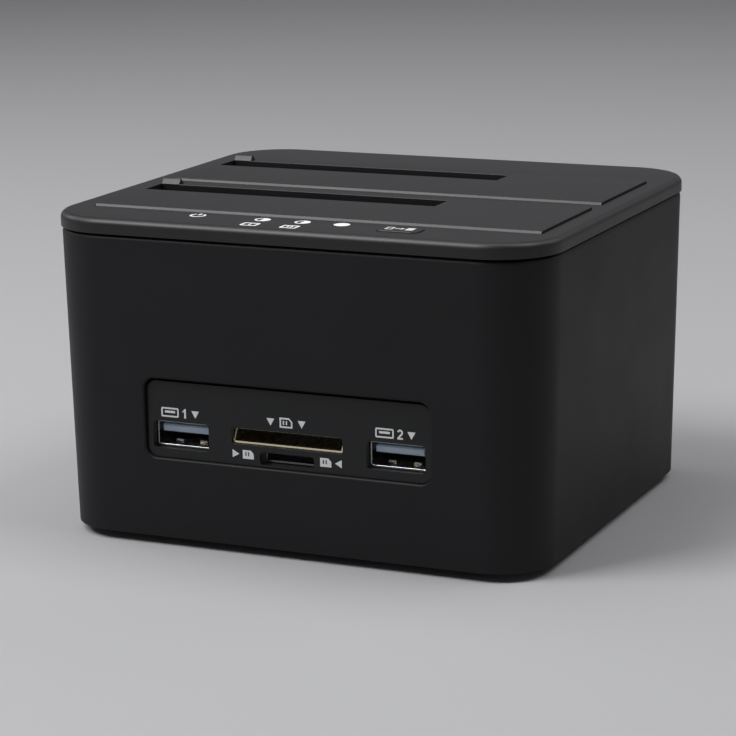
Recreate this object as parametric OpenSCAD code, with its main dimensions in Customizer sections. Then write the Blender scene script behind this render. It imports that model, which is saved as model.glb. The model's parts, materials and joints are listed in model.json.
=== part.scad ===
// Docking station for two upright hard drives, with two front sockets and a card reader.
// Origin on the standing surface under the middle of the body: +X right, +Y to the rear, +Z up.

/* [Drive bays] */
// Width of a full-size drive
drive_w = 101.6; // [95:0.1:110]
// Thickness of a full-size drive
drive_t = 26.1; // [22:0.1:32]
// Play between a drive and each end of its bay
drive_play_x = 0.8; // [0.3:0.1:2]
// Play of a drive between the long walls of its bay
drive_play_y = 1.1; // [0.4:0.1:3]
// Room past each end of a drive for the ends of its flap
flap_end_room = 0.8; // [0.5:0.1:1.5]
// Room ahead of a drive for its open flap to hang in
flap_room = 4.7; // [4.6:0.1:8]
// Depth of a bay below the deck
bay_depth = 54.3; // [50:0.1:80]
// Strip of deck between the two bays
bay_bridge = 5.2; // [4:0.1:12]
// Width of the open slot for a small drive at the left end of a bay
slot_w = 72.2; // [60:0.1:85]
// Depth of the open slot, front to rear
slot_d = 10.7; // [8:0.1:14]
// Wall of a bay well
well_t = 1.3; // [1.1:0.1:2]
// Floor of a bay well
well_floor_t = 2; // [1.5:0.1:4]
// Radius of the lead-in round along the rear edge of a bay
lead_r = 0.15; // [0.1:0.05:1.8]
// Width of the guide nub behind the left end of a slot
nub_w = 4.4; // [3:0.1:8]
// Height of a guide nub above the deck
nub_h = 1.2; // [0.8:0.1:1.6]

/* [Body] */
// Strip of deck ahead of the front bay
front_strip = 13.9; // [13.5:0.1:25]
// Deck behind the rear bay
rear_deck = 22.1; // [20:0.1:40]
// Deck beside the left end of the bays
left_rim = 5.8; // [5:0.1:15]
// Gap between the mouths of the wells and the housing's right wall
well_gap = 0.3; // [0.2:0.05:8]
// Radius of the upright corners
corner_r = 14; // [10:0.5:18]
// Wall of the housing
wall_t = 2.2; // [2:0.1:3]
// How far each wall leans in at the foot
draft = 1.4; // [0.5:0.1:1.6]
// Round on the top edge of the housing
shoulder_r = 1; // [0.5:0.1:1]

/* [Top cover] */
// Height of the cover's skirt
skirt_h = 3.3; // [3:0.1:6]
// How far the skirt stands out past the housing
skirt_over = 0.3; // [0.1:0.1:1]
// Thickness of the deck
deck_t = 2; // [1.8:0.1:3]
// Shadow gap between the skirt and the housing
seam_h = 0.3; // [0.2:0.05:1]
// Round on the top edge of the cover
rim_r = 1.5; // [0.8:0.1:2]

/* [Flaps] */
// Thickness of a flap's panel
flap_t = 2; // [1.8:0.1:2.2]
// How far a closed flap stands above the deck
flap_proud = 0.5; // [0.3:0.1:1]
// Gap round a flap
flap_gap = 0.3; // [0.25:0.05:0.8]
// Height of the slope along a flap's front edge
flap_edge_h = 0.8; // [0.6:0.1:1.2]
// Diameter of a hinge pin
pin_d = 1.6; // [1.2:0.1:2]
// Diameter of a flap's hinge barrel
barrel_d = 3.4; // [3:0.1:3.6]
// Height of the ribs under a flap
rib_h = 1.2; // [0.6:0.1:1.4]
// Wire of a flap spring
spring_wire = 0.4; // [0.3:0.05:0.5]
// Turns of a flap spring
spring_turns = 5; // [3:1:8]
// Advance of a flap spring in each turn
spring_pitch = 1; // [0.9:0.05:1.5]

/* [Clone button and indicators] */
// Width of the button
button_w = 9.5; // [7:0.1:12]
// Length of the button, front to rear
button_d = 5.2; // [4:0.1:6]
// Place of the button, from the middle
button_x = 24; // [20:0.5:27]
// How far the button stands above the deck
button_proud = 0.3; // [0.1:0.1:1]
// Travel of the button
button_travel = 0.6; // [0.3:0.1:0.8]
// Diameter of a light guide's stub
guide_d = 3; // [2:0.1:3.4]

/* [Front panel] */
// Width of the front window
panel_w = 66.7; // [66:0.1:76]
// Height of the front window
panel_h = 17.7; // [17:0.1:26]
// Height of the window's middle
panel_z = 28.65; // [27.5:0.05:28.9]
// Corner radius of the window
panel_r = 2.5; // [1:0.1:5]
// Shadow gap above the panel in its window
panel_top_gap = 0.7; // [0.2:0.1:1.2]
// How far the panel lies back from the housing's face
panel_recess = 1; // [0.5:0.1:1.2]
// Round on the housing's edge round the window
window_edge_r = 0.5; // [0.2:0.1:0.8]
// Distance of a front socket from the middle
usb_x = 25.2; // [24:0.1:25.5]
// Height of the front sockets' middle
usb_z = 24.95; // [24.6:0.05:25.3]
// Width of a front socket's shell
usb_w = 13.1; // [12.5:0.1:13.5]
// Height of a front socket's shell
usb_h = 5.7; // [5.4:0.1:6]
// Width of the large card slot's shell
sd_w = 25.8; // [24.8:0.1:26.5]
// Height of the large card slot's shell
sd_h = 3.2; // [2.8:0.1:3.6]
// Width of the small card slot's shell
tf_w = 12.4; // [11.8:0.1:13]
// Height of the small card slot's shell
tf_h = 2.5; // [2.2:0.1:2.7]

/* [Boards and rear] */
// Height of the front board's top
front_board_top = 24.6; // [24.4:0.1:25]
// Thickness of the front board
front_board_t = 1.6; // [1.2:0.1:1.8]
// Thickness of the main board
board_t = 1.6; // [1:0.1:2]
// Height of the main board above the base
board_stand = 3.3; // [2.5:0.1:6]
// Height of a drive socket above the main board
sata_h = 13.2; // [11:0.1:16]
// How far a drive socket stands into its bay
sata_mate = 4.8; // [4:0.1:6]
// Distance of the power inlet from the middle
jack_x = -30; // [-38:0.5:-22]
// Distance of the upstream socket from the middle
usbb_x = -6; // [-12:0.5:4]
// Distance of the power button from the middle
power_x = 22; // [14:0.5:32]
// Travel of the power button
power_travel = 1.2; // [0.5:0.1:1.5]

/* [Base] */
// Height of a foot below the base
foot_h = 2; // [1:0.1:4]
// Diameter of a foot
foot_d = 11; // [8:0.5:14]
// Thickness of the base cover
base_t = 2.2; // [2:0.1:3]
// Diameter of a base screw
screw_d = 2.6; // [2:0.1:3]

/* [Hidden] */

$fn = 48;
// Overlap that a cutting shape runs past a face
over = 1;
// Clearance of a piece that is set into a cut-out
fit = 0.15;
// Clearance of a piece that slides in a guide
slide = 0.2;
// Radial clearance of a pin in its lugs and in a barrel
pin_seat = 0.02;
pin_run = 0.06;

// Sizes of the bays and the body
shaft_w = drive_w + 2 * drive_play_x;
bay_w = shaft_w + 2 * flap_end_room;
bay_d = flap_room + drive_t + drive_play_y;
bay_pitch = bay_d + bay_bridge;
body_d = front_strip + 2 * bay_d + bay_bridge + rear_deck;

// Levels from the standing surface up
base_top = foot_h + base_t;
board_z = base_top + board_stand;
board_top = board_z + board_t;
sata_top = board_top + sata_h;
floor_z = sata_top - sata_mate;
floor_under = floor_z - well_floor_t;
deck_z = floor_z + bay_depth;
deck_under = deck_z - deck_t;
skirt_z = deck_z - skirt_h;
body_top = skirt_z - seam_h;
flap_top = deck_z + flap_proud;

// Slope of a guide nub and of a flap's front edge, as the angle of its normal above level, and the round on top
edge_slope = 35;
edge_r = 0.4;

// Hinge of a flap: its axis lies one barrel behind the bay's front edge, a little under the panel
barrel_r = barrel_d / 2;
hinge_drop = 0.3;
hinge_dy = flap_gap + barrel_r;
hinge_z = flap_top - flap_t - hinge_drop;
flap_reach = bay_d - hinge_dy - flap_gap;
// Room below a flap that hangs open
swing_room = 1.4;
step_z = hinge_z - flap_reach - swing_room;
// The bays lie a little right of the middle: the right rim is as narrow as the leaning wall lets it be
right_rim = ceil(50 * (wall_t + lean(step_z) + well_gap + well_t)) / 50;
body_w = left_rim + bay_w + right_rim;
bay_x0 = -body_w / 2 + left_rim;
bay_x1 = body_w / 2 - right_rim;
bay_x = (bay_x0 + bay_x1) / 2;
// Lugs that hold a hinge pin, clear of the housing's wall
lug_gap = 0.3;
lug_t = min(left_rim, right_rim) - wall_t - lug_gap;
lug_r = 2.6;
pin_inset = 0.5;
pin_end_gap = 0.1;
// Ribs under a flap
rib_t = 1.2;
rib_inset = 2;
// Flap spring: a coil in a pocket of the barrel
spring_r = barrel_r - spring_wire;
spring_inset = 6;
spring_x = bay_x0 + spring_inset;
spring_l = spring_turns * spring_pitch;
spring_leg = 8;
spring_room = spring_r + spring_wire;
pocket_play = 0.6;
spring_steps = 8;
spring_sides = 6;

function bay_front(i) = -body_d / 2 + front_strip + i * bay_pitch;
function hinge_y(i) = bay_front(i) + hinge_dy;
function lean(z) = draft * (body_top - z) / (body_top - foot_h);
function front_face(z) = -body_d / 2 + lean(z);
function rear_inside(z) = body_d / 2 - wall_t - lean(z);
function arc(c, r, a0, a1, n) =
    [for (k = [0:n]) let (a = a0 + (a1 - a0) * k / n) c + r * [cos(a), sin(a)]];
// Top round of a slope that climbs from the origin to height h, as an arc that ends at angle a1
function slope_top(h, a1) =
    let (run = (h - edge_r * (1 - sin(edge_slope))) / cos(edge_slope))
        arc([run * sin(edge_slope) + edge_r * cos(edge_slope), h - edge_r], edge_r, 180 - edge_slope, a1, 6);

// Top board and the pieces on it
strip_y0 = -body_d / 2 + wall_t;
strip_y1 = bay_front(0) - well_t;
top_board_t = 1.2;
top_board_drop = 6.4;
top_board_gap = 0.5;
top_board_z = deck_under - top_board_drop;
top_board_top = top_board_z + top_board_t;
button_shift = 0.9;
button_y = (strip_y0 + strip_y1) / 2 + button_shift;
button_r = 1.6;
button_rim = 0.9;
button_flange_w = button_w + 2 * button_rim;
button_flange_t = 1;
switch_w = 6;
switch_h = 2.2;
plunger_d = 3;
// Indicator places: one for power, two pairs, and one beside the button
row_inset = 2.5;
row_pitch = 5.7;
row_rear = strip_y1 - row_inset;
row_front = row_rear - row_pitch;
power_light_x = -23.8;
pair_lights_x = [-8.5, 0.8];
single_light_x = 9.8;
indicators = concat([[power_light_x, row_rear]],
    [for (x = pair_lights_x) for (y = [row_rear, row_front]) [x, y]],
    [[single_light_x, row_rear]]);
guide_web_t = 1.2;
skin_t = 0.6;
led_w = 3.2;
led_d = 2.8;
led_h = 1.9;
guide_x0 = power_light_x - guide_d;
guide_x1 = single_light_x + 0.75 * guide_d;
// Posts under the deck that carry the top board
post_r = 2.5;
post_clear = 4;
post_shift = 1;
post_y = row_front + post_shift;
button_flange_x0 = button_x - button_flange_w / 2;
top_posts = [for (x = [guide_x0 - 2 * post_clear, (guide_x1 + button_flange_x0) / 2,
    button_flange_x0 + button_flange_w + post_clear]) [x, post_y]];
top_board_x0 = top_posts[0].x - post_clear;
top_board_x1 = top_posts[2].x + post_clear;
// Small screws: how far each goes past its board, and the room beyond its tip
small_screw_d = 2;
small_head_r = 1.8;
small_head_h = 1.2;
top_screw_l = 3;
front_screw_l = 4;
main_screw_l = 2.5;
tip_gap = 0.5;

// Front panel and its sockets
panel_face = front_face(panel_z) + panel_recess;
panel_flange = 2;
panel_flange_t = 1.2;
panel_gap = 0.1;
panel_seat = -body_d / 2 + wall_t + lean(panel_z - panel_h / 2 - panel_flange) + panel_gap;
board_margin = 0.5;
socket_set = 1.6;
socket_front = panel_face + socket_set;
card_set = 0.6;
small_card_set = 2.6;
socket_back = bay_front(0) + flap_room - well_t - board_margin;
shell_t = 0.4;
fold_r = 0.5;
socket_r = fold_r + 2 * fit;
block_play = 0.1;
card_block_l = 2.2;
// Front socket: board tabs, spring leaves pressed out of the floor, tongue and contacts
usb_short = 2.2;
usb_back = socket_back - usb_short;
tab_w = 1.35;
tab_l = 3;
tab_inset = 5;
leaf_x = 2.9;
leaf_w = 1.8;
leaf_l = 3;
leaf_h = 0.6;
leaf_tip = [0.25, 1.1];
leaf_set = 3.2;
usb_tongue_t = 1.6;
usb_tongue_drop = 0.7;
usb_tongue_side = 0.7;
usb_tongue_set = 0.8;
usb_block_l = 3;
contact_w = 1;
contact_t = 0.15;
contact_pitch = 2.2;
contact_set = 1.8;
// Front board on its two posts
front_board_z = front_board_top - front_board_t;
front_board_y0 = panel_seat + panel_flange_t + slide;
front_post_out = 1.6;
front_post_x = panel_w / 2 + panel_flange + front_post_out;
front_post_y = (front_board_y0 + socket_back) / 2;
front_board_w = 2 * (front_post_x + post_r + board_margin);
small_card_short = 3.4;
small_card_back = socket_back - small_card_short;
// Flat cable, down between the left front socket and the card slot
cable_w = 3;
cable_t = 0.3;
cable_inset = 2.9;
cable_rise = 2;
cable_end = 3;
cable_x = -(usb_x - usb_w / 2 - tab_w + sd_w / 2) / 2;
cable_y = strip_y1 - cable_inset;

// Bosses in the housing's corners
boss_r = 4.2;
boss_h = 9;
boss_out = 6.5;
boss_reach = boss_out / sqrt(2);
boss_x = body_w / 2 - corner_r + boss_reach;
boss_y = body_d / 2 - corner_r + boss_reach;

// Main board, drive sockets and rear sockets
board_w = 2 * (boss_x - boss_r - board_margin);
board_lead = 2.3;
board_y0 = socket_back - board_lead;
board_rear_gap = 1.5;
board_y1 = rear_inside(board_z) - board_rear_gap;
board_post_r = post_r + board_margin;
board_post_inset = [4, 8, 9];
board_posts = [for (sx = [-1, 1]) for (y = [board_y0 + board_post_inset[1], board_y1 - board_post_inset[2]])
    [sx * (board_w / 2 - board_post_inset[0]), y]];
header_pitch = 2.54;
header_pins = 8;
header_pin = 0.64;
header_d = 1.8;
header_h = 2.5;
header_inset = 1.4;
// Drive sockets: two keyed slots for a drive's blades
sata_w = 42;
sata_d = 6.2;
sata_inset = 25.1;
sata_x = bay_x - drive_w / 2 + sata_inset;
sata_back = 3.8;
sata_end = 3;
blade_data_w = 11.2;
blade_power_w = 21.6;
blade_gap = 2.4;
blade_h = 6.5;
key_w = 1.5;
key_d = 1.1;
function sata_y(i) = bay_front(i) + bay_d - sata_back;
// Legs that stand a bay well on the base
leg = 5;
leg_x = shaft_w / 2 + well_t - leg / 2 - board_margin;
function leg_ys(i) = [bay_front(i) + flap_room + leg, bay_front(i) + bay_d - leg];
// Chips, each [x, distance behind its bay's front edge, bay, side], and the capacitors
chip_h = 1.1;
chips = [[20, 18, 0, 10], [22, 14, 1, 9], [-2, 10, 1, 7]];
cap_d = 6.3;
cap_h = 5.6;
cap_pitch = 7.5;
cap_count = 3;
cap_inset = 5;
cap_x = board_w / 2 - 2 * cap_inset;
// Power inlet, upstream socket and power button in the rear wall
rear_seat = rear_inside(board_top) - fit;
jack_w = 9;
jack_h = 11;
jack_l = 13.5;
jack_rise = 6.5;
jack_z = board_top + jack_rise;
jack_bore = 6.3;
jack_depth = 9.5;
jack_rim = 1.2;
jack_pin_d = 2;
jack_pin_set = 0.6;
usbb_w = 12;
usbb_h = 10.6;
usbb_l = 16;
usbb_low_h = 7.2;
usbb_top_w = 9.6;
usbb_r = 0.6;
usbb_t = 0.35;
usbb_back_t = 3;
usbb_set = 0.5;
usbb_end = rear_inside(board_top) + wall_t - usbb_set;
usbb_tongue_set = 1.5;
usbb_tongue_w = 5.6;
usbb_tongue_rise = 2.2;
usbb_tongue_t = 3;
usbb_blade_w = 7.2;
usbb_blade_t = 1.2;
usbb_blade_rise = 0.6;
power_rise = 5.4;
power_z = board_top + power_rise;
power_w = 8;
power_h = 5.6;
power_r = 1.2;
power_rim = 1;
power_flange_t = 1.2;
power_end = body_d / 2;
power_stem = 3;
stem_r = 0.2;
stem_in = 3.5;
switch_gap = 4.5;
switch_end = rear_seat - switch_gap;
power_switch_w = 8.4;
power_switch_l = 9;
power_switch_h = 9;

// Base, feet and screws
base_gap = 0.2;
foot_sink = 0.5;
foot_inset = 18;
foot_x = body_w / 2 - foot_inset;
foot_y = body_d / 2 - foot_inset;
head_r = screw_d * 0.9;
head_h = 1.2;
screw_tip = 2.5;
vent_l = 14;
vent_w = 2;
vent_r = 0.95;
vent_pitch = 5;
vent_side = 3;

black = "#1b1b1d";
coal = "#232325";
steel = "#b9bcc0";
board_green = "#1d4a33";

// A rectangle with round corners, in plan
module rounded(w, d, r) {
    square([w, d - 2 * r], center = true);
    square([w - 2 * r, d], center = true);
    for (sx = [-1, 1])
        for (sy = [-1, 1])
            translate([sx * (w / 2 - r), sy * (d / 2 - r)])
                circle(r, $fn = 96);
}

// A rounded block that runs from y0 to y1, seen from the front
module block_y(x, z, w, h, r, y0, y1) {
    translate([x, y1, z])
        rotate([90, 0, 0])
            linear_extrude(y1 - y0)
                rounded(w, h, r);
}

// A plain block between two corners
module box(low, high) {
    translate(low)
        cube(high - low);
}

// A profile of [outward, up] swept round a rounded rectangle
module swept(w, d, r) {
    for (a = [0:3]) {
        size = a % 2 == 0 ? [w, d] : [d, w];
        rotate(90 * a) {
            translate([size.x / 2, 0, 0])
                rotate([90, 0, 0])
                    linear_extrude(size.y - 2 * r, center = true)
                        children();
            translate([size.x / 2 - r, size.y / 2 - r, 0])
                rotate_extrude(angle = 90, $fn = 96)
                    translate([r, 0])
                        children();
        }
    }
}

// Section of the housing's wall, with its leaning sides, round shoulder and inner tongue
module housing_section() {
    tongue_t = wall_t / 2;
    polygon(concat(
        [[-draft - wall_t, foot_h], [-draft, foot_h]],
        arc([-shoulder_r, body_top - shoulder_r], shoulder_r, 0, 90, 8),
        [[-tongue_t, body_top], [-tongue_t, deck_under], [-wall_t, deck_under], [-wall_t, body_top]]));
}

// Section of the cover's edge: the top round, the skirt and a strip of deck
module cover_section() {
    skirt_in = -wall_t / 2 + slide;
    polygon(concat(
        [[-corner_r / 2, deck_under], [skirt_in, deck_under], [skirt_in, skirt_z], [skirt_over, skirt_z]],
        arc([skirt_over - rim_r, deck_z - rim_r], rim_r, 0, 90, 10),
        [[-corner_r / 2, deck_z]]));
}

module housing() {
    color(black)
        difference() {
            union() {
                swept(body_w, body_d, corner_r)
                    housing_section();
                for (sx = [-1, 1])
                    for (sy = [-1, 1])
                        translate([sx * boss_x, sy * boss_y, base_top])
                            cylinder(r = boss_r, h = boss_h);
            }
            for (sx = [-1, 1])
                for (sy = [-1, 1])
                    translate([sx * boss_x, sy * boss_y, base_top - over])
                        cylinder(d = screw_d + 2 * pin_seat, h = boss_h);
            front_window();
            translate([jack_x, body_d, jack_z])
                rotate([90, 0, 0])
                    cylinder(d = jack_bore + 2 * jack_rim, h = body_d - rear_inside(board_top) + wall_t);
            upstream_outline(fit, rear_inside(board_top) - wall_t, body_d);
            block_y(power_x, power_z, power_w + 2 * slide, power_h + 2 * slide, power_r + slide,
                rear_inside(board_top) - wall_t, body_d);
        }
}

// The window's cut, square to the leaning front wall, with a round on its outer edge
module front_window() {
    tilt = atan(draft / (body_top - foot_h));
    translate([0, front_face(panel_z), panel_z])
        rotate([90 + tilt, 0, 0]) {
            translate([0, 0, -wall_t - over])
                linear_extrude(wall_t + 2 * over)
                    rounded(panel_w, panel_h, panel_r);
            swept(panel_w, panel_h, panel_r)
                polygon(concat([[window_edge_r, over], [-fit, over], [-fit, -window_edge_r]],
                    arc([window_edge_r, -window_edge_r], window_edge_r, 180, 90, 5)));
        }
}

module top_cover() {
    color(coal)
        difference() {
            union() {
                swept(body_w, body_d, corner_r)
                    cover_section();
                translate([0, 0, deck_under])
                    linear_extrude(deck_t)
                        rounded(body_w - corner_r, body_d - corner_r, corner_r / 2);
                for (i = [0, 1]) {
                    for (sx = [-1, 1])
                        hinge_lug(i, sx);
                    guide_nub(i);
                }
                for (p = top_posts)
                    translate([p.x, p.y, top_board_top])
                        cylinder(r = post_r, h = deck_under + over - top_board_top);
            }
            for (i = [0, 1]) {
                box([bay_x0, bay_front(i), deck_under - over],
                    [bay_x1, bay_front(i) + bay_d, deck_z + nub_h + over]);
                lead_in(i);
                hinge_bore(i, pin_seat);
            }
            translate([button_x, button_y, deck_under - over])
                linear_extrude(deck_t + 2 * over)
                    rounded(button_w + 2 * slide, button_d + 2 * slide, button_r + slide);
            for (p = indicators)
                translate([p.x, p.y, deck_under - over])
                    cylinder(d = guide_d + 2 * fit, h = deck_t - skin_t + over);
            for (p = top_posts)
                translate([p.x, p.y, top_board_top - over])
                    cylinder(d = small_screw_d + 2 * pin_seat, h = top_screw_l + tip_gap + over);
        }
}

// A nub on the deck whose slope steers a small drive into the left end of its slot
module guide_nub(i) {
    top = slope_top(nub_h, 45);
    rear = top[len(top) - 1];
    translate([bay_x0, bay_front(i) + bay_d, deck_z])
        rotate([90, 0, 90])
            linear_extrude(nub_w)
                polygon(concat([[0, -lead_r], [0, 0]], top, [[rear.x + rear.y, 0], [rear.x + rear.y, -lead_r]]));
}

// A lug under the deck that holds one end of a hinge pin
module hinge_lug(i, sx) {
    translate([bay_x + sx * (bay_w + lug_t) / 2, hinge_y(i), 0])
        translate([-lug_t / 2, -lug_r, hinge_z - lug_r])
            cube([lug_t, 2 * lug_r, deck_under + over / 2 - hinge_z + lug_r]);
}

// The long round bore along a hinge
module hinge_bore(i, gap) {
    translate([bay_x, hinge_y(i), hinge_z])
        rotate([0, 90, 0])
            cylinder(d = pin_d + 2 * gap, h = bay_w + 2 * (lug_t - pin_inset), center = true);
}

// The cut that rounds the rear edge of a bay, beside its nub
module lead_in(i) {
    edge = bay_front(i) + bay_d;
    x0 = bay_x0 + nub_w;
    difference() {
        box([x0, edge - over, deck_z - lead_r], [bay_x1, edge + lead_r, deck_z + over]);
        translate([x0 - over, edge + lead_r, deck_z - lead_r])
            rotate([0, 90, 0])
                cylinder(r = lead_r, h = bay_w - nub_w + 2 * over);
    }
}

// A well that takes one drive: a wide mouth for the hanging flap over a narrow drive shaft
module bay_well(i) {
    y0 = bay_front(i);
    y1 = y0 + bay_d;
    shaft_x0 = bay_x - shaft_w / 2;
    shaft_x1 = bay_x + shaft_w / 2;
    color(coal)
        difference() {
            union() {
                box([bay_x0 - well_t, y0 - well_t, step_z - well_t], [bay_x1 + well_t, y1 + well_t, deck_under]);
                box([shaft_x0 - well_t, y0 + flap_room - well_t, floor_under],
                    [shaft_x1 + well_t, y1 + well_t, deck_under]);
                for (sx = [-1, 1])
                    for (y = leg_ys(i))
                        box([bay_x + sx * leg_x - leg / 2, y - leg / 2, base_top],
                            [bay_x + sx * leg_x + leg / 2, y + leg / 2, floor_z]);
            }
            box([bay_x0, y0, step_z], [bay_x1, y1, deck_z]);
            box([shaft_x0, y0 + flap_room, floor_z], [shaft_x1, y1, deck_z]);
            box([sata_x - sata_w / 2 - slide, sata_y(i) - sata_d / 2 - slide, floor_under - over],
                [sata_x + sata_w / 2 + slide, sata_y(i) + sata_d / 2 + slide, floor_z + over]);
            for (sx = [-1, 1])
                translate([bay_x + sx * (bay_w + well_t) / 2, hinge_y(i), 0])
                    box([-well_t, -lug_r - slide, hinge_z - lug_r - slide], [well_t, lug_r + slide, deck_z]);
        }
}

module front_bay_well() bay_well(0);
module rear_bay_well() bay_well(1);

// Plan of a flap: a long panel with the small drive's slot left open at its rear left
module flap_plan(i) {
    x0 = bay_x0 + flap_gap;
    x1 = bay_x1 - flap_gap;
    y0 = bay_front(i) + flap_gap;
    y1 = bay_front(i) + bay_d - flap_gap;
    slot_x = bay_x0 + slot_w;
    slot_y = bay_front(i) + bay_d - slot_d;
    polygon([[x0, y0], [x1, y0], [x1, y1], [slot_x, y1], [slot_x, slot_y], [x0, slot_y]]);
}

// Side view of a flap: the panel with its sloped front edge, over the hinge barrel
module flap_side(i) {
    y0 = bay_front(i) + flap_gap;
    y1 = bay_front(i) + bay_d;
    under = flap_top - flap_t;
    edge = [y0, flap_top - flap_edge_h];
    polygon(concat([edge], [for (p = slope_top(flap_edge_h, 90)) edge + p],
        [[y1, flap_top], [y1, under], [hinge_y(i), under], [hinge_y(i), hinge_z], [y0, hinge_z]]));
    translate([hinge_y(i), hinge_z])
        circle(barrel_r);
}

module flap(i) {
    x0 = bay_x0 + flap_gap;
    under = flap_top - flap_t;
    slot_x = bay_x0 + slot_w;
    slot_y = bay_front(i) + bay_d - slot_d;
    // Ribs under the panel, each [x, rear end]: the first short one stands over the spring's leg
    long_end = bay_front(i) + bay_d - rib_inset;
    long_ribs = [for (x = [slot_x + rib_inset, bay_x1 - 2 * rib_inset]) [x, long_end]];
    short_ribs = [for (x = [spring_x + spring_l / 2, (spring_x + slot_x) / 2]) [x, slot_y - rib_inset]];
    color(coal)
        difference() {
            union() {
                intersection() {
                    translate([x0, 0, 0])
                        rotate([90, 0, 90])
                            linear_extrude(bay_w - 2 * flap_gap)
                                flap_side(i);
                    translate([0, 0, hinge_z - barrel_d])
                        linear_extrude(flap_top - hinge_z + 2 * barrel_d)
                            flap_plan(i);
                }
                for (r = concat(long_ribs, short_ribs))
                    box([r.x - rib_t / 2, hinge_y(i) + barrel_r / 2, under - rib_h],
                        [r.x + rib_t / 2, r.y, under + over / 2]);
            }
            hinge_bore(i, pin_run);
            translate([spring_x - pocket_play, hinge_y(i), hinge_z])
                rotate([0, 90, 0])
                    cylinder(r = spring_room, h = spring_l + 2 * pocket_play);
            box([spring_x - pocket_play, bay_front(i), hinge_z - spring_room - over],
                [spring_x + spring_l + pocket_play, hinge_y(i) + spring_room, hinge_z]);
        }
}

module front_flap() flap(0);
module rear_flap() flap(1);

module hinge_pin(i) {
    color(steel)
        translate([bay_x, hinge_y(i), hinge_z])
            rotate([0, 90, 0])
                cylinder(d = pin_d, h = bay_w + 2 * (lug_t - pin_inset - pin_end_gap), center = true);
}

module front_hinge_pin() hinge_pin(0);
module rear_hinge_pin() hinge_pin(1);

// Centre line of a flap spring: a coil round the pin, with a leg under the flap and one to the well's wall
function coil_angle(k) = 270 - 360 * k / spring_steps;
function coil_point(k) = [spring_x + spring_pitch * k / spring_steps,
    spring_r * cos(coil_angle(k)), spring_r * sin(coil_angle(k))];
function coil_count() = spring_turns * spring_steps;
function coil_path() = concat([coil_point(0) + [0, spring_leg, 0]],
    [for (k = [0:coil_count()]) coil_point(k)],
    [coil_point(coil_count()) - [0, hinge_dy - slide, 0]]);
function coil_out(k) = let (a = coil_angle(min(max(k - 1, 0), coil_count()))) [0, cos(a), sin(a)];
function coil_gap() = min([for (a = [0:coil_count()])
    for (b = [a + spring_steps / 2 : 1 : coil_count()]) norm(coil_point(a) - coil_point(b))]) - spring_wire;

module flap_spring(i) {
    path = coil_path();
    rings = len(path);
    points = [for (k = [0:rings - 1]) for (s = [0:spring_sides - 1])
        path[k] + spring_wire / 2 * (cos(360 * s / spring_sides) * coil_out(k)
            + [sin(360 * s / spring_sides), 0, 0])];
    sides = [for (k = [0:rings - 2]) for (s = [0:spring_sides - 1]) for (half = [0, 1])
        let (a = k * spring_sides + s, b = k * spring_sides + (s + 1) % spring_sides)
            half == 0 ? [a, b, b + spring_sides] : [a, b + spring_sides, a + spring_sides]];
    first_cap = [for (s = [1:spring_sides - 2]) [0, s + 1, s]];
    last = (rings - 1) * spring_sides;
    last_cap = [for (s = [1:spring_sides - 2]) [last, last + s, last + s + 1]];
    echo(spring_least_gap = coil_gap());
    color(steel)
        translate([0, hinge_y(i), hinge_z])
            polyhedron(points, concat(sides, first_cap, last_cap));
}

module front_flap_spring() flap_spring(0);
module rear_flap_spring() flap_spring(1);

module clone_button() {
    flange_top = deck_under - slide;
    color(coal)
        translate([button_x, button_y, flange_top - button_flange_t])
            union() {
                linear_extrude(deck_z + button_proud - flange_top + button_flange_t)
                    rounded(button_w, button_d, button_r);
                linear_extrude(button_flange_t)
                    rounded(button_flange_w, button_d + 2 * button_rim, button_r + button_rim);
            }
}

module clone_plunger() {
    top = deck_under - slide - button_flange_t;
    color("#d8d4c6")
        translate([button_x, button_y, top_board_top + button_travel + slide])
            cylinder(d = plunger_d, h = top - top_board_top - button_travel - slide);
}

module clone_switch() {
    color("#2c2d30")
        difference() {
            translate([button_x - switch_w / 2, button_y - switch_w / 2, top_board_top])
                cube([switch_w, switch_w, switch_h]);
            translate([button_x, button_y, top_board_top + slide / 2])
                cylinder(d = plunger_d + 2 * slide, h = switch_h + over);
        }
}

// One clear moulding: a web under the deck, with a stub up to each indicator and one down to its lamp
module light_guides() {
    color("#e8eef2")
        union() {
            box([guide_x0, row_front - guide_d / 2, deck_under - guide_web_t],
                [guide_x1, row_rear + guide_d / 2, deck_under]);
            for (p = indicators)
                translate([p.x, p.y, top_board_top + led_h + fit])
                    cylinder(d = guide_d, h = deck_z - skin_t - fit - top_board_top - led_h - fit);
        }
}

module indicator_leds() {
    color("#f4f1e4")
        for (p = indicators)
            translate([p.x - led_w / 2, p.y - led_d / 2, top_board_top])
                cube([led_w, led_d, led_h]);
}

module top_board() {
    color(board_green)
        difference() {
            box([top_board_x0, strip_y0 + top_board_gap, top_board_z],
                [top_board_x1, strip_y1 - top_board_gap, top_board_top]);
            for (p = top_posts)
                translate([p.x, p.y, top_board_z - over])
                    cylinder(d = small_screw_d + 2 * slide, h = top_board_t + 2 * over);
        }
}

// A pan-head screw whose head sits on z = 0 and whose shank goes up
module small_screw(l) {
    translate([0, 0, -small_head_h])
        cylinder(r = small_head_r, h = small_head_h);
    cylinder(d = small_screw_d, h = l);
}

module top_board_screws() {
    color(steel)
        for (p = top_posts)
            translate([p.x, p.y, top_board_z])
                small_screw(top_board_t + top_screw_l);
}

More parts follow.
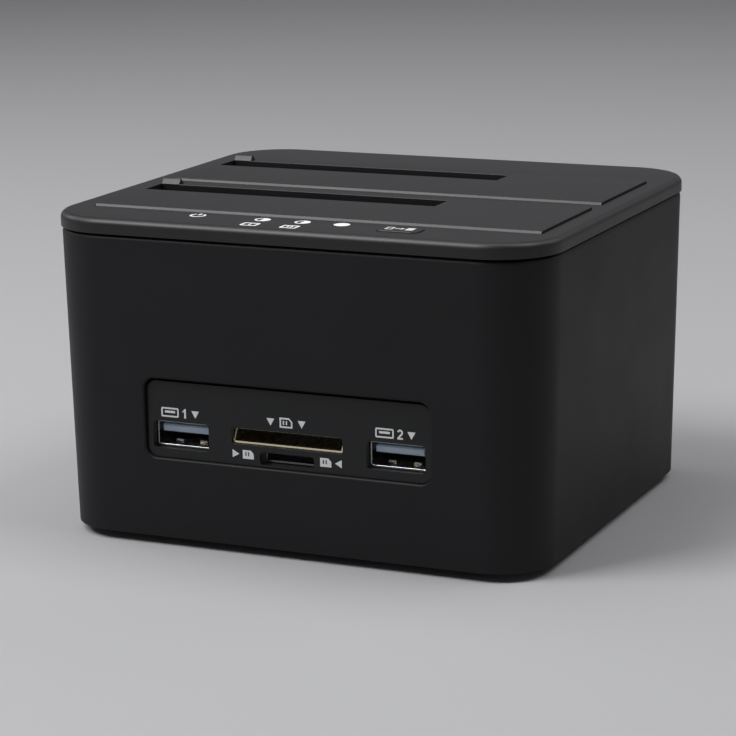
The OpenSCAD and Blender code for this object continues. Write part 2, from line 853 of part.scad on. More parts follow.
module front_panel() {
    low = panel_z - panel_h / 2 + fit;
    high = panel_z + panel_h / 2 - panel_top_gap;
    color(black)
        difference() {
            union() {
                block_y(0, (low + high) / 2, panel_w - 2 * fit, high - low, panel_r - fit,
                    panel_face, panel_seat + over / 2);
                block_y(0, panel_z, panel_w + 2 * panel_flange, panel_h + 2 * panel_flange, panel_r,
                    panel_seat, panel_seat + panel_flange_t);
            }
            for (sx = [-1, 1])
                socket_cut(sx * usb_x, usb_z, usb_w, usb_h);
            socket_cut(0, front_board_top + sd_h / 2, sd_w, sd_h);
            socket_cut(0, front_board_z - tf_h / 2, tf_w, tf_h);
        }
}

// The opening round one socket, with round corners
module socket_cut(x, z, w, h) {
    block_y(x, z, w + 2 * fit, h + 2 * fit, socket_r, panel_face - over, panel_seat + panel_flange_t + over);
}

// A folded metal shell, open at the front and the back
module shell(x, z, w, h, front, back) {
    difference() {
        block_y(x, z, w, h, fold_r, front, back);
        block_y(x, z, w - 2 * shell_t, h - 2 * shell_t, fold_r - shell_t, front - over, back + over);
    }
}

// A front socket's shell with its board tabs and the two spring leaves pressed out of its floor
module usb_shell(sx) {
    x = sx * usb_x;
    inside = usb_z - usb_h / 2 + shell_t / 2;
    tab_reach = tab_w + shell_t / 2;
    color(steel)
        union() {
            shell(x, usb_z, usb_w, usb_h, socket_front, usb_back);
            for (side = [-1, 1]) {
                translate([x + side * (usb_w / 2 + tab_w - tab_reach / 2) - tab_reach / 2,
                    usb_back - tab_inset, front_board_top])
                    cube([tab_reach, tab_l, shell_t]);
                translate([x + side * leaf_x - leaf_w / 2, socket_front + leaf_set, inside])
                    rotate([90, 0, 90])
                        linear_extrude(leaf_w)
                            polygon([[0, 0], [leaf_l, 0], [leaf_tip[1], leaf_h], [leaf_tip[0], leaf_h]]);
            }
        }
}

module left_usb_shell() usb_shell(-1);
module right_usb_shell() usb_shell(1);

// The moulded tongue in the upper half of a front socket, on its rear block
module usb_tongue(sx) {
    x = sx * usb_x;
    top = usb_z + usb_h / 2 - shell_t;
    wide = usb_w - 2 * shell_t;
    color("#7f97ad")
        union() {
            translate([0, 0, top - usb_tongue_drop])
                box([x - wide / 2 + usb_tongue_side, socket_front + usb_tongue_set, -usb_tongue_t],
                    [x + wide / 2 - usb_tongue_side, usb_back - slide, 0]);
            box([x - wide / 2 + block_play, usb_back - usb_block_l, usb_z - usb_h / 2 + shell_t + block_play],
                [x + wide / 2 - block_play, usb_back - slide, top - block_play]);
        }
}

module left_usb_tongue() usb_tongue(-1);
module right_usb_tongue() usb_tongue(1);

// Four flat contacts under each front tongue
module usb_contacts() {
    under = usb_z + usb_h / 2 - shell_t - usb_tongue_drop - usb_tongue_t;
    color("#c9a24a")
        for (sx = [-1, 1])
            for (k = [-1.5:1:1.5])
                translate([sx * usb_x + k * contact_pitch, 0, under])
                    box([-contact_w / 2, socket_front + contact_set, -contact_t],
                        [contact_w / 2, usb_back - usb_block_l, 0]);
}

module card_slot_shell() {
    color("#c8b98f")
        shell(0, front_board_top + sd_h / 2, sd_w, sd_h, panel_face + card_set, socket_back);
}

// The moulded block with the contacts at the back of a card slot
module card_block(z, w, h, back) {
    color("#26272a")
        box([-w / 2 + shell_t + block_play, back - card_block_l, z - h / 2 + shell_t + block_play],
            [w / 2 - shell_t - block_play, back - slide, z + h / 2 - shell_t - block_play]);
}

module card_slot_block() card_block(front_board_top + sd_h / 2, sd_w, sd_h, socket_back);

module small_card_shell() {
    color(steel)
        shell(0, front_board_z - tf_h / 2, tf_w, tf_h, panel_face + small_card_set, small_card_back);
}

module small_card_block() card_block(front_board_z - tf_h / 2, tf_w, tf_h, small_card_back);

module front_board() {
    color(board_green)
        difference() {
            box([-front_board_w / 2, front_board_y0, front_board_z],
                [front_board_w / 2, socket_back, front_board_top]);
            translate([cable_x, cable_y, front_board_z - over])
                box([-cable_w / 2 - slide, -cable_t - slide, 0],
                    [cable_w / 2 + slide, slide, front_board_t + 2 * over]);
            for (sx = [-1, 1]) {
                box([sx * usb_x - usb_w / 2 - fit, front_board_y0 - over, front_board_z - over],
                    [sx * usb_x + usb_w / 2 + fit, usb_back + fit, front_board_top + over]);
                translate([sx * front_post_x, front_post_y, front_board_z - over])
                    cylinder(d = small_screw_d + 2 * slide, h = front_board_t + 2 * over);
            }
        }
}

module front_board_screws() {
    color(steel)
        for (sx = [-1, 1])
            translate([sx * front_post_x, front_post_y, front_board_top])
                mirror([0, 0, 1])
                    small_screw(front_board_t + front_screw_l);
}

module main_board() {
    color(board_green)
        difference() {
            box([-board_w / 2, board_y0, board_z], [board_w / 2, board_y1, board_top]);
            for (p = board_posts)
                translate([p.x, p.y, board_z - over])
                    cylinder(d = small_screw_d + 2 * slide, h = board_t + 2 * over);
        }
}

module main_board_screws() {
    color(steel)
        for (p = board_posts)
            translate([p.x, p.y, board_top])
                mirror([0, 0, 1])
                    small_screw(board_t + main_screw_l);
}

// Pins that carry the front board's signals down to the main board
module board_header() {
    length = header_pins * header_pitch;
    color("#202124")
        translate([0, socket_back - header_inset, board_top])
            union() {
                translate([-length / 2, -header_d / 2, 0])
                    cube([length, header_d, header_h]);
                for (k = [0:header_pins - 1])
                    translate([(k + 0.5) * header_pitch - (length + header_pin) / 2, -header_pin / 2, 0])
                        cube([header_pin, header_pin, front_board_z - board_top]);
            }
}

// Flat cable from the top board, through the front board's slot, down to the main board
module ribbon_cable() {
    end_y = board_y0 + cable_end;
    low = board_top + cable_rise;
    color("#d7d9dc")
        translate([cable_x - cable_w / 2, 0, 0])
            rotate([90, 0, 90])
                linear_extrude(cable_w)
                    polygon([[cable_y - cable_t, top_board_z], [cable_y, top_board_z],
                        [cable_y, low + cable_t], [end_y, low + cable_t], [end_y, board_top],
                        [end_y - cable_t, board_top], [end_y - cable_t, low], [cable_y - cable_t, low]]);
}

// A drive socket: a tall body with a data slot and a power slot in its top
module drive_socket(i) {
    color("#141416")
        translate([sata_x, sata_y(i), 0])
            difference() {
                box([-sata_w / 2, -sata_d / 2, board_top], [sata_w / 2, sata_d / 2, sata_top]);
                blade_slot(-sata_w / 2 + sata_end, blade_data_w);
                blade_slot(sata_w / 2 - sata_end - blade_power_w, blade_power_w);
            }
}

// A slot for one blade of a drive, keyed at its left end
module blade_slot(x, w) {
    box([x, -blade_gap / 2, sata_top - blade_h], [x + w, blade_gap / 2, sata_top + over]);
    box([x, -blade_gap / 2 - key_d, sata_top - blade_h], [x + key_w, 0, sata_top + over]);
}

module front_drive_socket() drive_socket(0);
module rear_drive_socket() drive_socket(1);

// Bridge, hub and card reader chips on the main board
module board_chips() {
    color("#1a1a1c")
        for (c = chips)
            translate([c[0] - c[3] / 2, bay_front(c[2]) + c[1] - c[3] / 2, board_top])
                cube([c[3], c[3], chip_h]);
}

module capacitors() {
    color("#3a3f55")
        for (k = [0:cap_count - 1])
            translate([cap_x, board_y1 - cap_inset - cap_pitch * k, board_top])
                cylinder(d = cap_d, h = cap_h);
}

module power_inlet() {
    color("#161618")
        difference() {
            box([jack_x - jack_w / 2, rear_seat - jack_l, board_top],
                [jack_x + jack_w / 2, rear_seat, board_top + jack_h]);
            translate([jack_x, rear_seat + over, jack_z])
                rotate([90, 0, 0])
                    cylinder(d = jack_bore, h = jack_depth + over);
        }
}

module power_inlet_pin() {
    color(steel)
        translate([jack_x, rear_seat - jack_pin_set, jack_z])
            rotate([90, 0, 0])
                cylinder(d = jack_pin_d, h = jack_depth - jack_pin_set);
}

// Outline of the upstream socket: a square port with a narrower step on top
module upstream_outline(grow, y0, y1) {
    for (size = [[usbb_w, usbb_low_h], [usbb_top_w, usbb_h]])
        block_y(usbb_x, board_top + size.y / 2, size.x + 2 * grow, size.y + 2 * grow, usbb_r + grow, y0, y1);
}

module upstream_shell() {
    color(steel)
        difference() {
            upstream_outline(0, usbb_end - usbb_l, usbb_end);
            upstream_outline(-usbb_t, usbb_end - usbb_l + usbb_back_t, usbb_end + over);
        }
}

module upstream_tongue() {
    color("#5f86b8")
        union() {
            for (t = [[usbb_tongue_w, usbb_tongue_t, usbb_tongue_rise],
                [usbb_blade_w, usbb_blade_t, usbb_low_h + usbb_blade_rise]])
                translate([usbb_x - t[0] / 2, usbb_end - usbb_l + usbb_back_t, board_top + t[2]])
                    cube([t[0], usbb_l - usbb_back_t - usbb_tongue_set, t[1]]);
        }
}

module power_switch() {
    color("#2c2d30")
        difference() {
            translate([power_x - power_switch_w / 2, switch_end - power_switch_l, board_top])
                cube([power_switch_w, power_switch_l, power_switch_h]);
            block_y(power_x, power_z, power_stem + 2 * slide, power_stem + 2 * slide, stem_r + slide,
                switch_end - stem_in - power_travel - slide, switch_end + over);
        }
}

module power_button() {
    flange_end = rear_inside(board_top) - slide;
    flange_start = flange_end - power_flange_t;
    color(coal)
        union() {
            block_y(power_x, power_z, power_w, power_h, power_r, flange_start, power_end);
            block_y(power_x, power_z, power_w + 2 * power_rim, power_h + 2 * power_rim, power_r + power_rim,
                flange_start, flange_end);
            block_y(power_x, power_z, power_stem, power_stem, stem_r,
                switch_end - stem_in, flange_start + stem_r);
        }
}

module base_cover() {
    w = body_w - 2 * (draft + wall_t + base_gap);
    d = body_d - 2 * (draft + wall_t + base_gap);
    r = corner_r - draft - wall_t - base_gap;
    color(black)
        difference() {
            union() {
                translate([0, 0, foot_h])
                    linear_extrude(base_t)
                        rounded(w, d, r);
                for (p = board_posts)
                    translate([p.x, p.y, base_top - over / 2])
                        cylinder(r = board_post_r, h = board_z - base_top + over / 2);
                for (sx = [-1, 1])
                    translate([sx * front_post_x, front_post_y, base_top - over / 2])
                        cylinder(r = post_r, h = front_board_z - base_top + over / 2);
            }
            for (p = board_posts)
                translate([p.x, p.y, board_z - main_screw_l - tip_gap])
                    cylinder(d = small_screw_d + 2 * pin_seat, h = main_screw_l + tip_gap + over);
            for (sx = [-1, 1]) {
                translate([sx * front_post_x, front_post_y, front_board_z - front_screw_l - tip_gap])
                    cylinder(d = small_screw_d + 2 * pin_seat, h = front_screw_l + tip_gap + over);
                for (sy = [-1, 1]) {
                    translate([sx * foot_x, sy * foot_y, foot_h - over])
                        cylinder(d = foot_d + 2 * fit, h = foot_sink + over);
                    translate([sx * boss_x, sy * boss_y, foot_h - over])
                        cylinder(d = screw_d + 2 * fit, h = base_t + 2 * over);
                    translate([sx * boss_x, sy * boss_y, foot_h - over])
                        cylinder(r = head_r + fit, h = head_h + over);
                }
            }
            vent_slots();
        }
}

// Rows of cooling slots through the base, under the board
module vent_slots() {
    for (sx = [-1, 1])
        for (k = [-vent_side:vent_side])
            translate([sx * vent_l, k * vent_pitch, foot_h - over])
                linear_extrude(base_t + 2 * over)
                    rounded(vent_l, vent_w, vent_r);
}

module base_screws() {
    color(steel)
        for (sx = [-1, 1])
            for (sy = [-1, 1])
                translate([sx * boss_x, sy * boss_y, foot_h]) {
                    cylinder(r = head_r, h = head_h);
                    cylinder(d = screw_d, h = base_t + boss_h - screw_tip);
                }
}

module feet() {
    color("#101011")
        for (sx = [-1, 1])
            for (sy = [-1, 1])
                translate([sx * foot_x, sy * foot_y, 0])
                    cylinder(d = foot_d, h = foot_h + foot_sink);
}

housing();
top_cover();
front_bay_well();
rear_bay_well();
front_flap();
rear_flap();
front_hinge_pin();
rear_hinge_pin();
front_flap_spring();
rear_flap_spring();
clone_button();
clone_plunger();
clone_switch();
light_guides();
indicator_leds();
top_board();
top_board_screws();
front_panel();
front_board();
front_board_screws();
left_usb_shell();
right_usb_shell();
left_usb_tongue();
right_usb_tongue();
usb_contacts();
card_slot_shell();
card_slot_block();
small_card_shell();
small_card_block();
main_board();
main_board_screws();
board_header();
ribbon_cable();
front_drive_socket();
rear_drive_socket();
board_chips();
capacitors();
power_inlet();
power_inlet_pin();
upstream_shell();
upstream_tongue();
power_switch();
power_button();
base_cover();
base_screws();
feet();
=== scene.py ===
"""Dresses a two-bay drive docking station: finishes, softened edges, printed marks, light and camera."""
import json
import logging
import math
from abc import ABC, abstractmethod
from collections.abc import Sequence
from dataclasses import dataclass, field
from enum import Enum

import bmesh
import bpy
from mathutils import Matrix, Vector

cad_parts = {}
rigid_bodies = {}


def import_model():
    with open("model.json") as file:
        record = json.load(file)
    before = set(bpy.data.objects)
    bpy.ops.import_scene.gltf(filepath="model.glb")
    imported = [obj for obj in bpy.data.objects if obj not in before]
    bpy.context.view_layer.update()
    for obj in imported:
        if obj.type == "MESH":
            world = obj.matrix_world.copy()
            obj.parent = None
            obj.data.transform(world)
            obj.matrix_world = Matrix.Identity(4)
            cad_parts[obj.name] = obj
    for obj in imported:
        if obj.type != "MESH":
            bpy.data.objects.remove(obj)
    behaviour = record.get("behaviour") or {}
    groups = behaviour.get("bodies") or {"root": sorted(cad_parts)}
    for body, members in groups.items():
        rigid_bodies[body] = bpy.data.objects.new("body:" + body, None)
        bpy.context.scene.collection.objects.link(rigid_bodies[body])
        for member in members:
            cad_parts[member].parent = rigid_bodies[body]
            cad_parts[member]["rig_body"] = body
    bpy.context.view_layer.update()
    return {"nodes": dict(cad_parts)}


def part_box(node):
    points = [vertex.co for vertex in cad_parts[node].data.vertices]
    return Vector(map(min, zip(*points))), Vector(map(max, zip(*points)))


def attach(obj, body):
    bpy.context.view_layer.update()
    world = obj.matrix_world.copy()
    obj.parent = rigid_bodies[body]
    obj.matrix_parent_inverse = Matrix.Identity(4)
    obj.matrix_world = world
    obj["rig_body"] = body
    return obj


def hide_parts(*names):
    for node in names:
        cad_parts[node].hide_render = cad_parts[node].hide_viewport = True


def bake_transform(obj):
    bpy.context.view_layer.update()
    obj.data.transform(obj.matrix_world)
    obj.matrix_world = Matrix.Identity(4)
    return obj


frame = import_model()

log = logging.getLogger("docking_station")

Point = tuple[float, float]
Place = tuple[float, float, float]
Colour = tuple[float, float, float, float]
Outline = list[Point]

MM = 0.001
DOCK = "dock"
ALONG_X: Place = (1.0, 0.0, 0.0)
ALONG_Y: Place = (0.0, 1.0, 0.0)
ALONG_Z: Place = (0.0, 0.0, 1.0)
# Most values of a noise texture lie in this band.
NOISE_LOW = 0.3
NOISE_HIGH = 0.7


class Slot(Enum):
    """Material slots of the part, by their names in its record."""

    HOUSING = "housing_abs"
    COVER = "cover_abs"
    WELL = "well_abs"
    PANEL = "panel_abs"
    BUTTON = "button_abs"
    STEEL = "steel"
    TINNED = "tinned_steel"
    GILT = "gilt_steel"
    GOLD = "contact_gold"
    TONGUE = "tongue_plastic"
    SOCKET = "socket_plastic"
    BOARD = "circuit_board"
    GUIDE = "clear_guide"
    LAMP = "lamp"
    PLUNGER = "plunger"
    CHIP = "chip"
    CAPACITOR = "capacitor"
    CABLE = "cable"
    RUBBER = "foot_rubber"


class Side(Enum):
    """Sides of the port panel, as seen from the front."""

    LEFT = "left"
    RIGHT = "right"

    @property
    def way(self) -> int:
        """Gives the sign of x on this side."""
        return -1 if self is Side.LEFT else 1


class Bay(Enum):
    """The two drive bays."""

    FRONT = "front"
    REAR = "rear"


class Pointing(Enum):
    """Directions of a printed pointer, in degrees."""

    RIGHT = 0
    LEFT = 180
    DOWN = -90


def linear(hex_colour: str) -> Colour:
    """Turns an sRGB hex colour to linear light, by the sRGB standard's own curve.

    Args:
        hex_colour: Six hex digits after a hash sign.

    Returns:
        Red, green, blue and alpha, each from 0 to 1.
    """
    shares = [int(hex_colour[i:i + 2], 16) / 255 for i in (1, 3, 5)]
    red, green, blue = (s / 12.92 if s <= 0.04045 else ((s + 0.055) / 1.055) ** 2.4 for s in shares)
    return red, green, blue, 1.0


def tint(colour: Colour, share: float) -> Colour:
    """Gives a linear colour with its light scaled by a share."""
    return (*(share * c for c in colour[:3]), 1.0)


def per_mm(size_mm: float) -> float:
    """Gives the texture scale, per metre, whose cells are about size_mm across."""
    return 1.0 / (size_mm * MM)


def add_node(tree: bpy.types.NodeTree, kind: str, links: dict[str, bpy.types.NodeSocket] | None = None,
             **settings: object) -> bpy.types.Node:
    """Adds one shader node with its settings and links.

    Args:
        tree: Node tree that takes the node.
        kind: Blender's class name for the node, after "ShaderNode".
        links: Output sockets to join, by the name of this node's input.
        settings: Values by property name, or by input name with spaces written as underscores.

    Returns:
        The new node.
    """
    node = tree.nodes.new("ShaderNode" + kind)
    for name, value in settings.items():
        if hasattr(node, name):
            setattr(node, name, value)
        else:
            node.inputs[name.replace("_", " ")].default_value = value
    for name, output in (links or {}).items():
        tree.links.new(output, node.inputs[name])
    return node


@dataclass(frozen=True)
class Finish(ABC):
    """A finish, by the name of its real material and its colour."""

    name: str
    colour: str

    @abstractmethod
    def shade(self, tree: bpy.types.NodeTree, place: bpy.types.NodeSocket) -> bpy.types.Node:
        """Adds the nodes that give the finish its look.

        Args:
            tree: Node tree of the material.
            place: Socket with the surface's own coordinates, in metres.

        Returns:
            The shader node.
        """

    def build(self) -> bpy.types.Material:
        """Makes the material.

        Returns:
            The new material.
        """
        material = bpy.data.materials.new(self.name)
        material.use_nodes = True
        tree = material.node_tree
        tree.nodes.clear()
        shader = self.shade(tree, add_node(tree, "TexCoord").outputs["Object"])
        add_node(tree, "OutputMaterial", {"Surface": shader.outputs["BSDF"]})
        return material


@dataclass(frozen=True)
class MouldedPlastic(Finish):
    """Injection-moulded plastic, with the fine grit of a spark-eroded mould and a slightly uneven sheen.

    The grit breaks the light into a soft satin. It is drawn coarser than the real 0.05 mm so that it shows.
    """

    roughness: float = 0.5
    specular: float = 0.35
    ior: float = 1.54
    grit_mm: float = 0.35
    grit_height_mm: float = 0.012
    grit_strength: float = 0.6
    sheen_patch_mm: float = 18.0
    sheen_spread: float = 0.05
    tint_spread: float = 0.1

    def shade(self, tree: bpy.types.NodeTree, place: bpy.types.NodeSocket) -> bpy.types.Node:
        """Adds soft patches of sheen and tint over fine grit.

        Args:
            tree: Node tree of the material.
            place: Socket with the surface's own coordinates, in metres.

        Returns:
            The shader node.
        """
        patches = add_node(tree, "TexNoise", {"Vector": place}, Scale=per_mm(self.sheen_patch_mm),
                           Detail=3.0)
        sheen = add_node(tree, "MapRange", {"Value": patches.outputs["Fac"]},
                         From_Min=NOISE_LOW, From_Max=NOISE_HIGH,
                         To_Min=self.roughness - self.sheen_spread,
                         To_Max=self.roughness + self.sheen_spread)
        shades = add_node(tree, "ValToRGB", {"Fac": patches.outputs["Fac"]})
        dark, light = shades.color_ramp.elements
        dark.color = tint(linear(self.colour), 1 - self.tint_spread)
        light.color = tint(linear(self.colour), 1 + self.tint_spread)
        grit = add_node(tree, "TexNoise", {"Vector": place}, Scale=per_mm(self.grit_mm), Detail=2.0)
        bump = add_node(tree, "Bump", {"Height": grit.outputs["Fac"]}, Strength=self.grit_strength,
                        Distance=self.grit_height_mm * MM)
        return add_node(tree, "BsdfPrincipled",
                        {"Base Color": shades.outputs["Color"], "Roughness": sheen.outputs["Result"],
                         "Normal": bump.outputs["Normal"]},
                        IOR=self.ior, Specular_IOR_Level=self.specular)


@dataclass(frozen=True)
class PlatedMetal(Finish):
    """Stamped sheet or turned metal with a bright plating, brushed a little along one axis.

    The brushing draws each highlight out across its lines.
    """

    roughness: float = 0.28
    sheen_low: float = 0.8
    sheen_high: float = 1.25
    brush_mm: float = 0.12
    brush_stretch: float = 30.0
    brush_height_mm: float = 0.002
    brush_strength: float = 0.4

    def shade(self, tree: bpy.types.NodeTree, place: bpy.types.NodeSocket) -> bpy.types.Node:
        """Adds brushed lines to a metal.

        Args:
            tree: Node tree of the material.
            place: Socket with the surface's own coordinates, in metres.

        Returns:
            The shader node.
        """
        fine = per_mm(self.brush_mm)
        stretch = add_node(tree, "Mapping", {"Vector": place}, Scale=(fine, fine / self.brush_stretch, fine))
        lines = add_node(tree, "TexNoise", {"Vector": stretch.outputs["Vector"]}, Scale=1.0, Detail=2.0)
        sheen = add_node(tree, "MapRange", {"Value": lines.outputs["Fac"]},
                         From_Min=NOISE_LOW, From_Max=NOISE_HIGH,
                         To_Min=self.roughness * self.sheen_low, To_Max=self.roughness * self.sheen_high)
        bump = add_node(tree, "Bump", {"Height": lines.outputs["Fac"]}, Strength=self.brush_strength,
                        Distance=self.brush_height_mm * MM)
        return add_node(tree, "BsdfPrincipled",
                        {"Roughness": sheen.outputs["Result"], "Normal": bump.outputs["Normal"]},
                        Base_Color=linear(self.colour), Metallic=1.0)


@dataclass(frozen=True)
class SolderMask(Finish):
    """Glass-epoxy board under solder mask, through which the tracks show as lighter lines."""

    track: str
    cell_mm: float = 2.4
    track_share: float = 0.12
    roughness: float = 0.35
    ior: float = 1.5

    def shade(self, tree: bpy.types.NodeTree, place: bpy.types.NodeSocket) -> bpy.types.Node:
        """Adds tracks between cells of mask.

        Args:
            tree: Node tree of the material.
            place: Socket with the surface's own coordinates, in metres.

        Returns:
            The shader node.
        """
        tracks = add_node(tree, "TexVoronoi", {"Vector": place}, distance="MANHATTAN",
                          feature="DISTANCE_TO_EDGE", Scale=per_mm(self.cell_mm))
        shades = add_node(tree, "ValToRGB", {"Fac": tracks.outputs["Distance"]})
        line, mask = shades.color_ramp.elements
        line.color = linear(self.track)
        mask.color = linear(self.colour)
        mask.position = self.track_share
        return add_node(tree, "BsdfPrincipled", {"Base Color": shades.outputs["Color"]},
                        Roughness=self.roughness, IOR=self.ior)


@dataclass(frozen=True)
class ClearMoulding(Finish):
    """Clear polycarbonate, a little frosted by its mould, so that what is behind it looks soft."""

    roughness: float = 0.15
    frost_mm: float = 0.6
    frost_spread: float = 0.5
    ior: float = 1.58
    transmission: float = 0.9

    def shade(self, tree: bpy.types.NodeTree, place: bpy.types.NodeSocket) -> bpy.types.Node:
        """Adds frost to a clear body.

        Args:
            tree: Node tree of the material.
            place: Socket with the surface's own coordinates, in metres.

        Returns:
            The shader node.
        """
        frost = add_node(tree, "TexNoise", {"Vector": place}, Scale=per_mm(self.frost_mm), Detail=2.0)
        sheen = add_node(tree, "MapRange", {"Value": frost.outputs["Fac"]},
                         To_Min=self.roughness * (1 - self.frost_spread),
                         To_Max=self.roughness * (1 + self.frost_spread))
        return add_node(tree, "BsdfPrincipled", {"Roughness": sheen.outputs["Result"]},
                        Base_Color=linear(self.colour), IOR=self.ior, Transmission_Weight=self.transmission)


@dataclass(frozen=True)
class Ink(Finish):
    """Pad-printed ink: a thin, slightly uneven film. A lit mark also glows from the guide behind it."""

    glow: float = 0.0
    film_mm: float = 0.5
    thin_share: float = 0.85
    roughness: float = 0.55
    ior: float = 1.5

    def shade(self, tree: bpy.types.NodeTree, place: bpy.types.NodeSocket) -> bpy.types.Node:
        """Adds a film with thinner spots.

        Args:
            tree: Node tree of the material.
            place: Socket with the surface's own coordinates, in metres.

        Returns:
            The shader node.
        """
        film = add_node(tree, "TexNoise", {"Vector": place}, Scale=per_mm(self.film_mm), Detail=2.0)
        shades = add_node(tree, "ValToRGB", {"Fac": film.outputs["Fac"]})
        thin, full = shades.color_ramp.elements
        thin.color = tint(linear(self.colour), self.thin_share)
        full.color = linear(self.colour)
        return add_node(tree, "BsdfPrincipled", {"Base Color": shades.outputs["Color"]},
                        Roughness=self.roughness, IOR=self.ior,
                        Emission_Color=linear(self.colour), Emission_Strength=self.glow)


@dataclass(frozen=True)
class MattPaper(Finish):
    """Matt paper under the object: it scatters light evenly and hardly mirrors."""

    roughness: float = 0.9
    specular: float = 0.2

    def shade(self, tree: bpy.types.NodeTree, place: bpy.types.NodeSocket) -> bpy.types.Node:
        """Adds a plain matt shader.

        Args:
            tree: Node tree of the material.
            place: Socket with the surface's own coordinates, which plain paper has no use for.

        Returns:
            The shader node.
        """
        return add_node(tree, "BsdfPrincipled", Base_Color=linear(self.colour), Roughness=self.roughness,
                        Specular_IOR_Level=self.specular)


FINISHES: dict[Slot, Finish] = {
    # Black ABS from a spark-eroded mould: the grit leaves a dull, even wall with hardly a highlight.
    Slot.HOUSING: MouldedPlastic("black_spark_textured_abs", "#1b191b", roughness=0.5, specular=0.16,
                                 grit_height_mm=0.008, sheen_spread=0.03),
    # Satin ABS of the lid and the flaps: smoother, so it takes broad, soft highlights from above.
    Slot.COVER: MouldedPlastic("charcoal_satin_abs", "#131315", roughness=0.44, specular=0.41,
                               grit_height_mm=0.005, sheen_spread=0.015),
    # Matt ABS of the wells: a flat dark grey that keeps the depth of the bays readable.
    Slot.WELL: MouldedPlastic("charcoal_matt_abs", "#262628", roughness=0.6, specular=0.35),
    # Smooth ABS of the port panel: black with a faint gloss.
    Slot.PANEL: MouldedPlastic("black_smooth_abs", "#191a1b", roughness=0.38, specular=0.24,
                               grit_height_mm=0.005),
    # Satin ABS of the keys: a shade lighter than the deck around them.
    Slot.BUTTON: MouldedPlastic("charcoal_keycap_abs", "#1a1a1c", roughness=0.45, specular=0.38,
                                grit_height_mm=0.008),
    # Zinc plating on pins, springs and screws: a cool, slightly dull silver.
    Slot.STEEL: PlatedMetal("zinc_plated_steel", "#b4b7ba", roughness=0.32),
    # Nickel plating on stamped shells: a clean, bright silver.
    Slot.TINNED: PlatedMetal("nickel_plated_steel", "#c9cacc", roughness=0.22),
    # A thin gilt wash on a stamped shell: a pale, warm silver.
    Slot.GILT: PlatedMetal("gilt_steel", "#e2d8ba", roughness=0.25, brush_height_mm=0.0008),
    # Hard gold on contacts: a clear yellow metal.
    Slot.GOLD: PlatedMetal("gold_plated_contacts", "#d8b45a", roughness=0.2),
    # Tinted PBT of the socket tongues: a pale blue-grey with a soft gloss.
    Slot.TONGUE: MouldedPlastic("blue_grey_pbt", "#b4c6d6", roughness=0.4, specular=0.5, ior=1.57),
    # Nylon of the connector bodies: a near black that hides in its shadow.
    Slot.SOCKET: MouldedPlastic("black_nylon", "#121213", roughness=0.45, specular=0.4),
    # Solder mask over copper: dark green with lighter green tracks.
    Slot.BOARD: SolderMask("green_solder_mask", "#123a25", "#2c6b45"),
    # Polycarbonate of the light guides: clear with a frosted edge.
    Slot.GUIDE: ClearMoulding("clear_polycarbonate", "#f1f5f7"),
    # Phosphor on the lamp chips: pale yellow, faintly alight.
    Slot.LAMP: Ink("lamp_phosphor", "#f3e9b8", glow=0.4),
    # Acetal of the plunger: a waxy ivory.
    Slot.PLUNGER: MouldedPlastic("ivory_acetal", "#d8d3c4", roughness=0.35, specular=0.5, ior=1.48),
    # Epoxy of the chips: a dull black.
    Slot.CHIP: MouldedPlastic("black_moulding_compound", "#17181a", roughness=0.6, specular=0.4),
    # Shrink sleeve of the capacitors: slate blue with a tight gloss.
    Slot.CAPACITOR: MouldedPlastic("slate_shrink_sleeve", "#363b50", roughness=0.35, specular=0.5),
    # Polyester film of the ribbon cable: white and rather shiny.
    Slot.CABLE: MouldedPlastic("white_polyester_film", "#d5d7da", roughness=0.3, specular=0.5, ior=1.64),
    # Rubber of the feet: black without gloss, with a coarser grit.
    Slot.RUBBER: MouldedPlastic("black_rubber", "#111112", roughness=0.8, specular=0.3, grit_mm=0.6),
}


def add_prism(shape: bmesh.types.BMesh, start: Sequence[Place], end: Sequence[Place]) -> None:
    """Adds a closed prism between two rings of points.

    Args:
        shape: Mesh under work.
        start: First ring in metres, anticlockwise as seen from the last ring's side.
        end: Last ring in metres, point for point.
    """
    first, last = ([shape.verts.new(point) for point in ring] for ring in (start, end))
    shape.faces.new(reversed(first))
    shape.faces.new(last)
    for i in range(len(first)):
        j = (i + 1) % len(first)
        shape.faces.new((first[i], first[j], last[j], last[i]))


def to_object(shape: bmesh.types.BMesh, name: str) -> bpy.types.Object:
    """Turns a finished shape to an object.

    Args:
        shape: Mesh under work, which is freed.
        name: Name of the object and its mesh.

    Returns:
        The new object, not yet in the scene.
    """
    mesh = bpy.data.meshes.new(name)
    shape.to_mesh(mesh)
    shape.free()
    return bpy.data.objects.new(name, mesh)


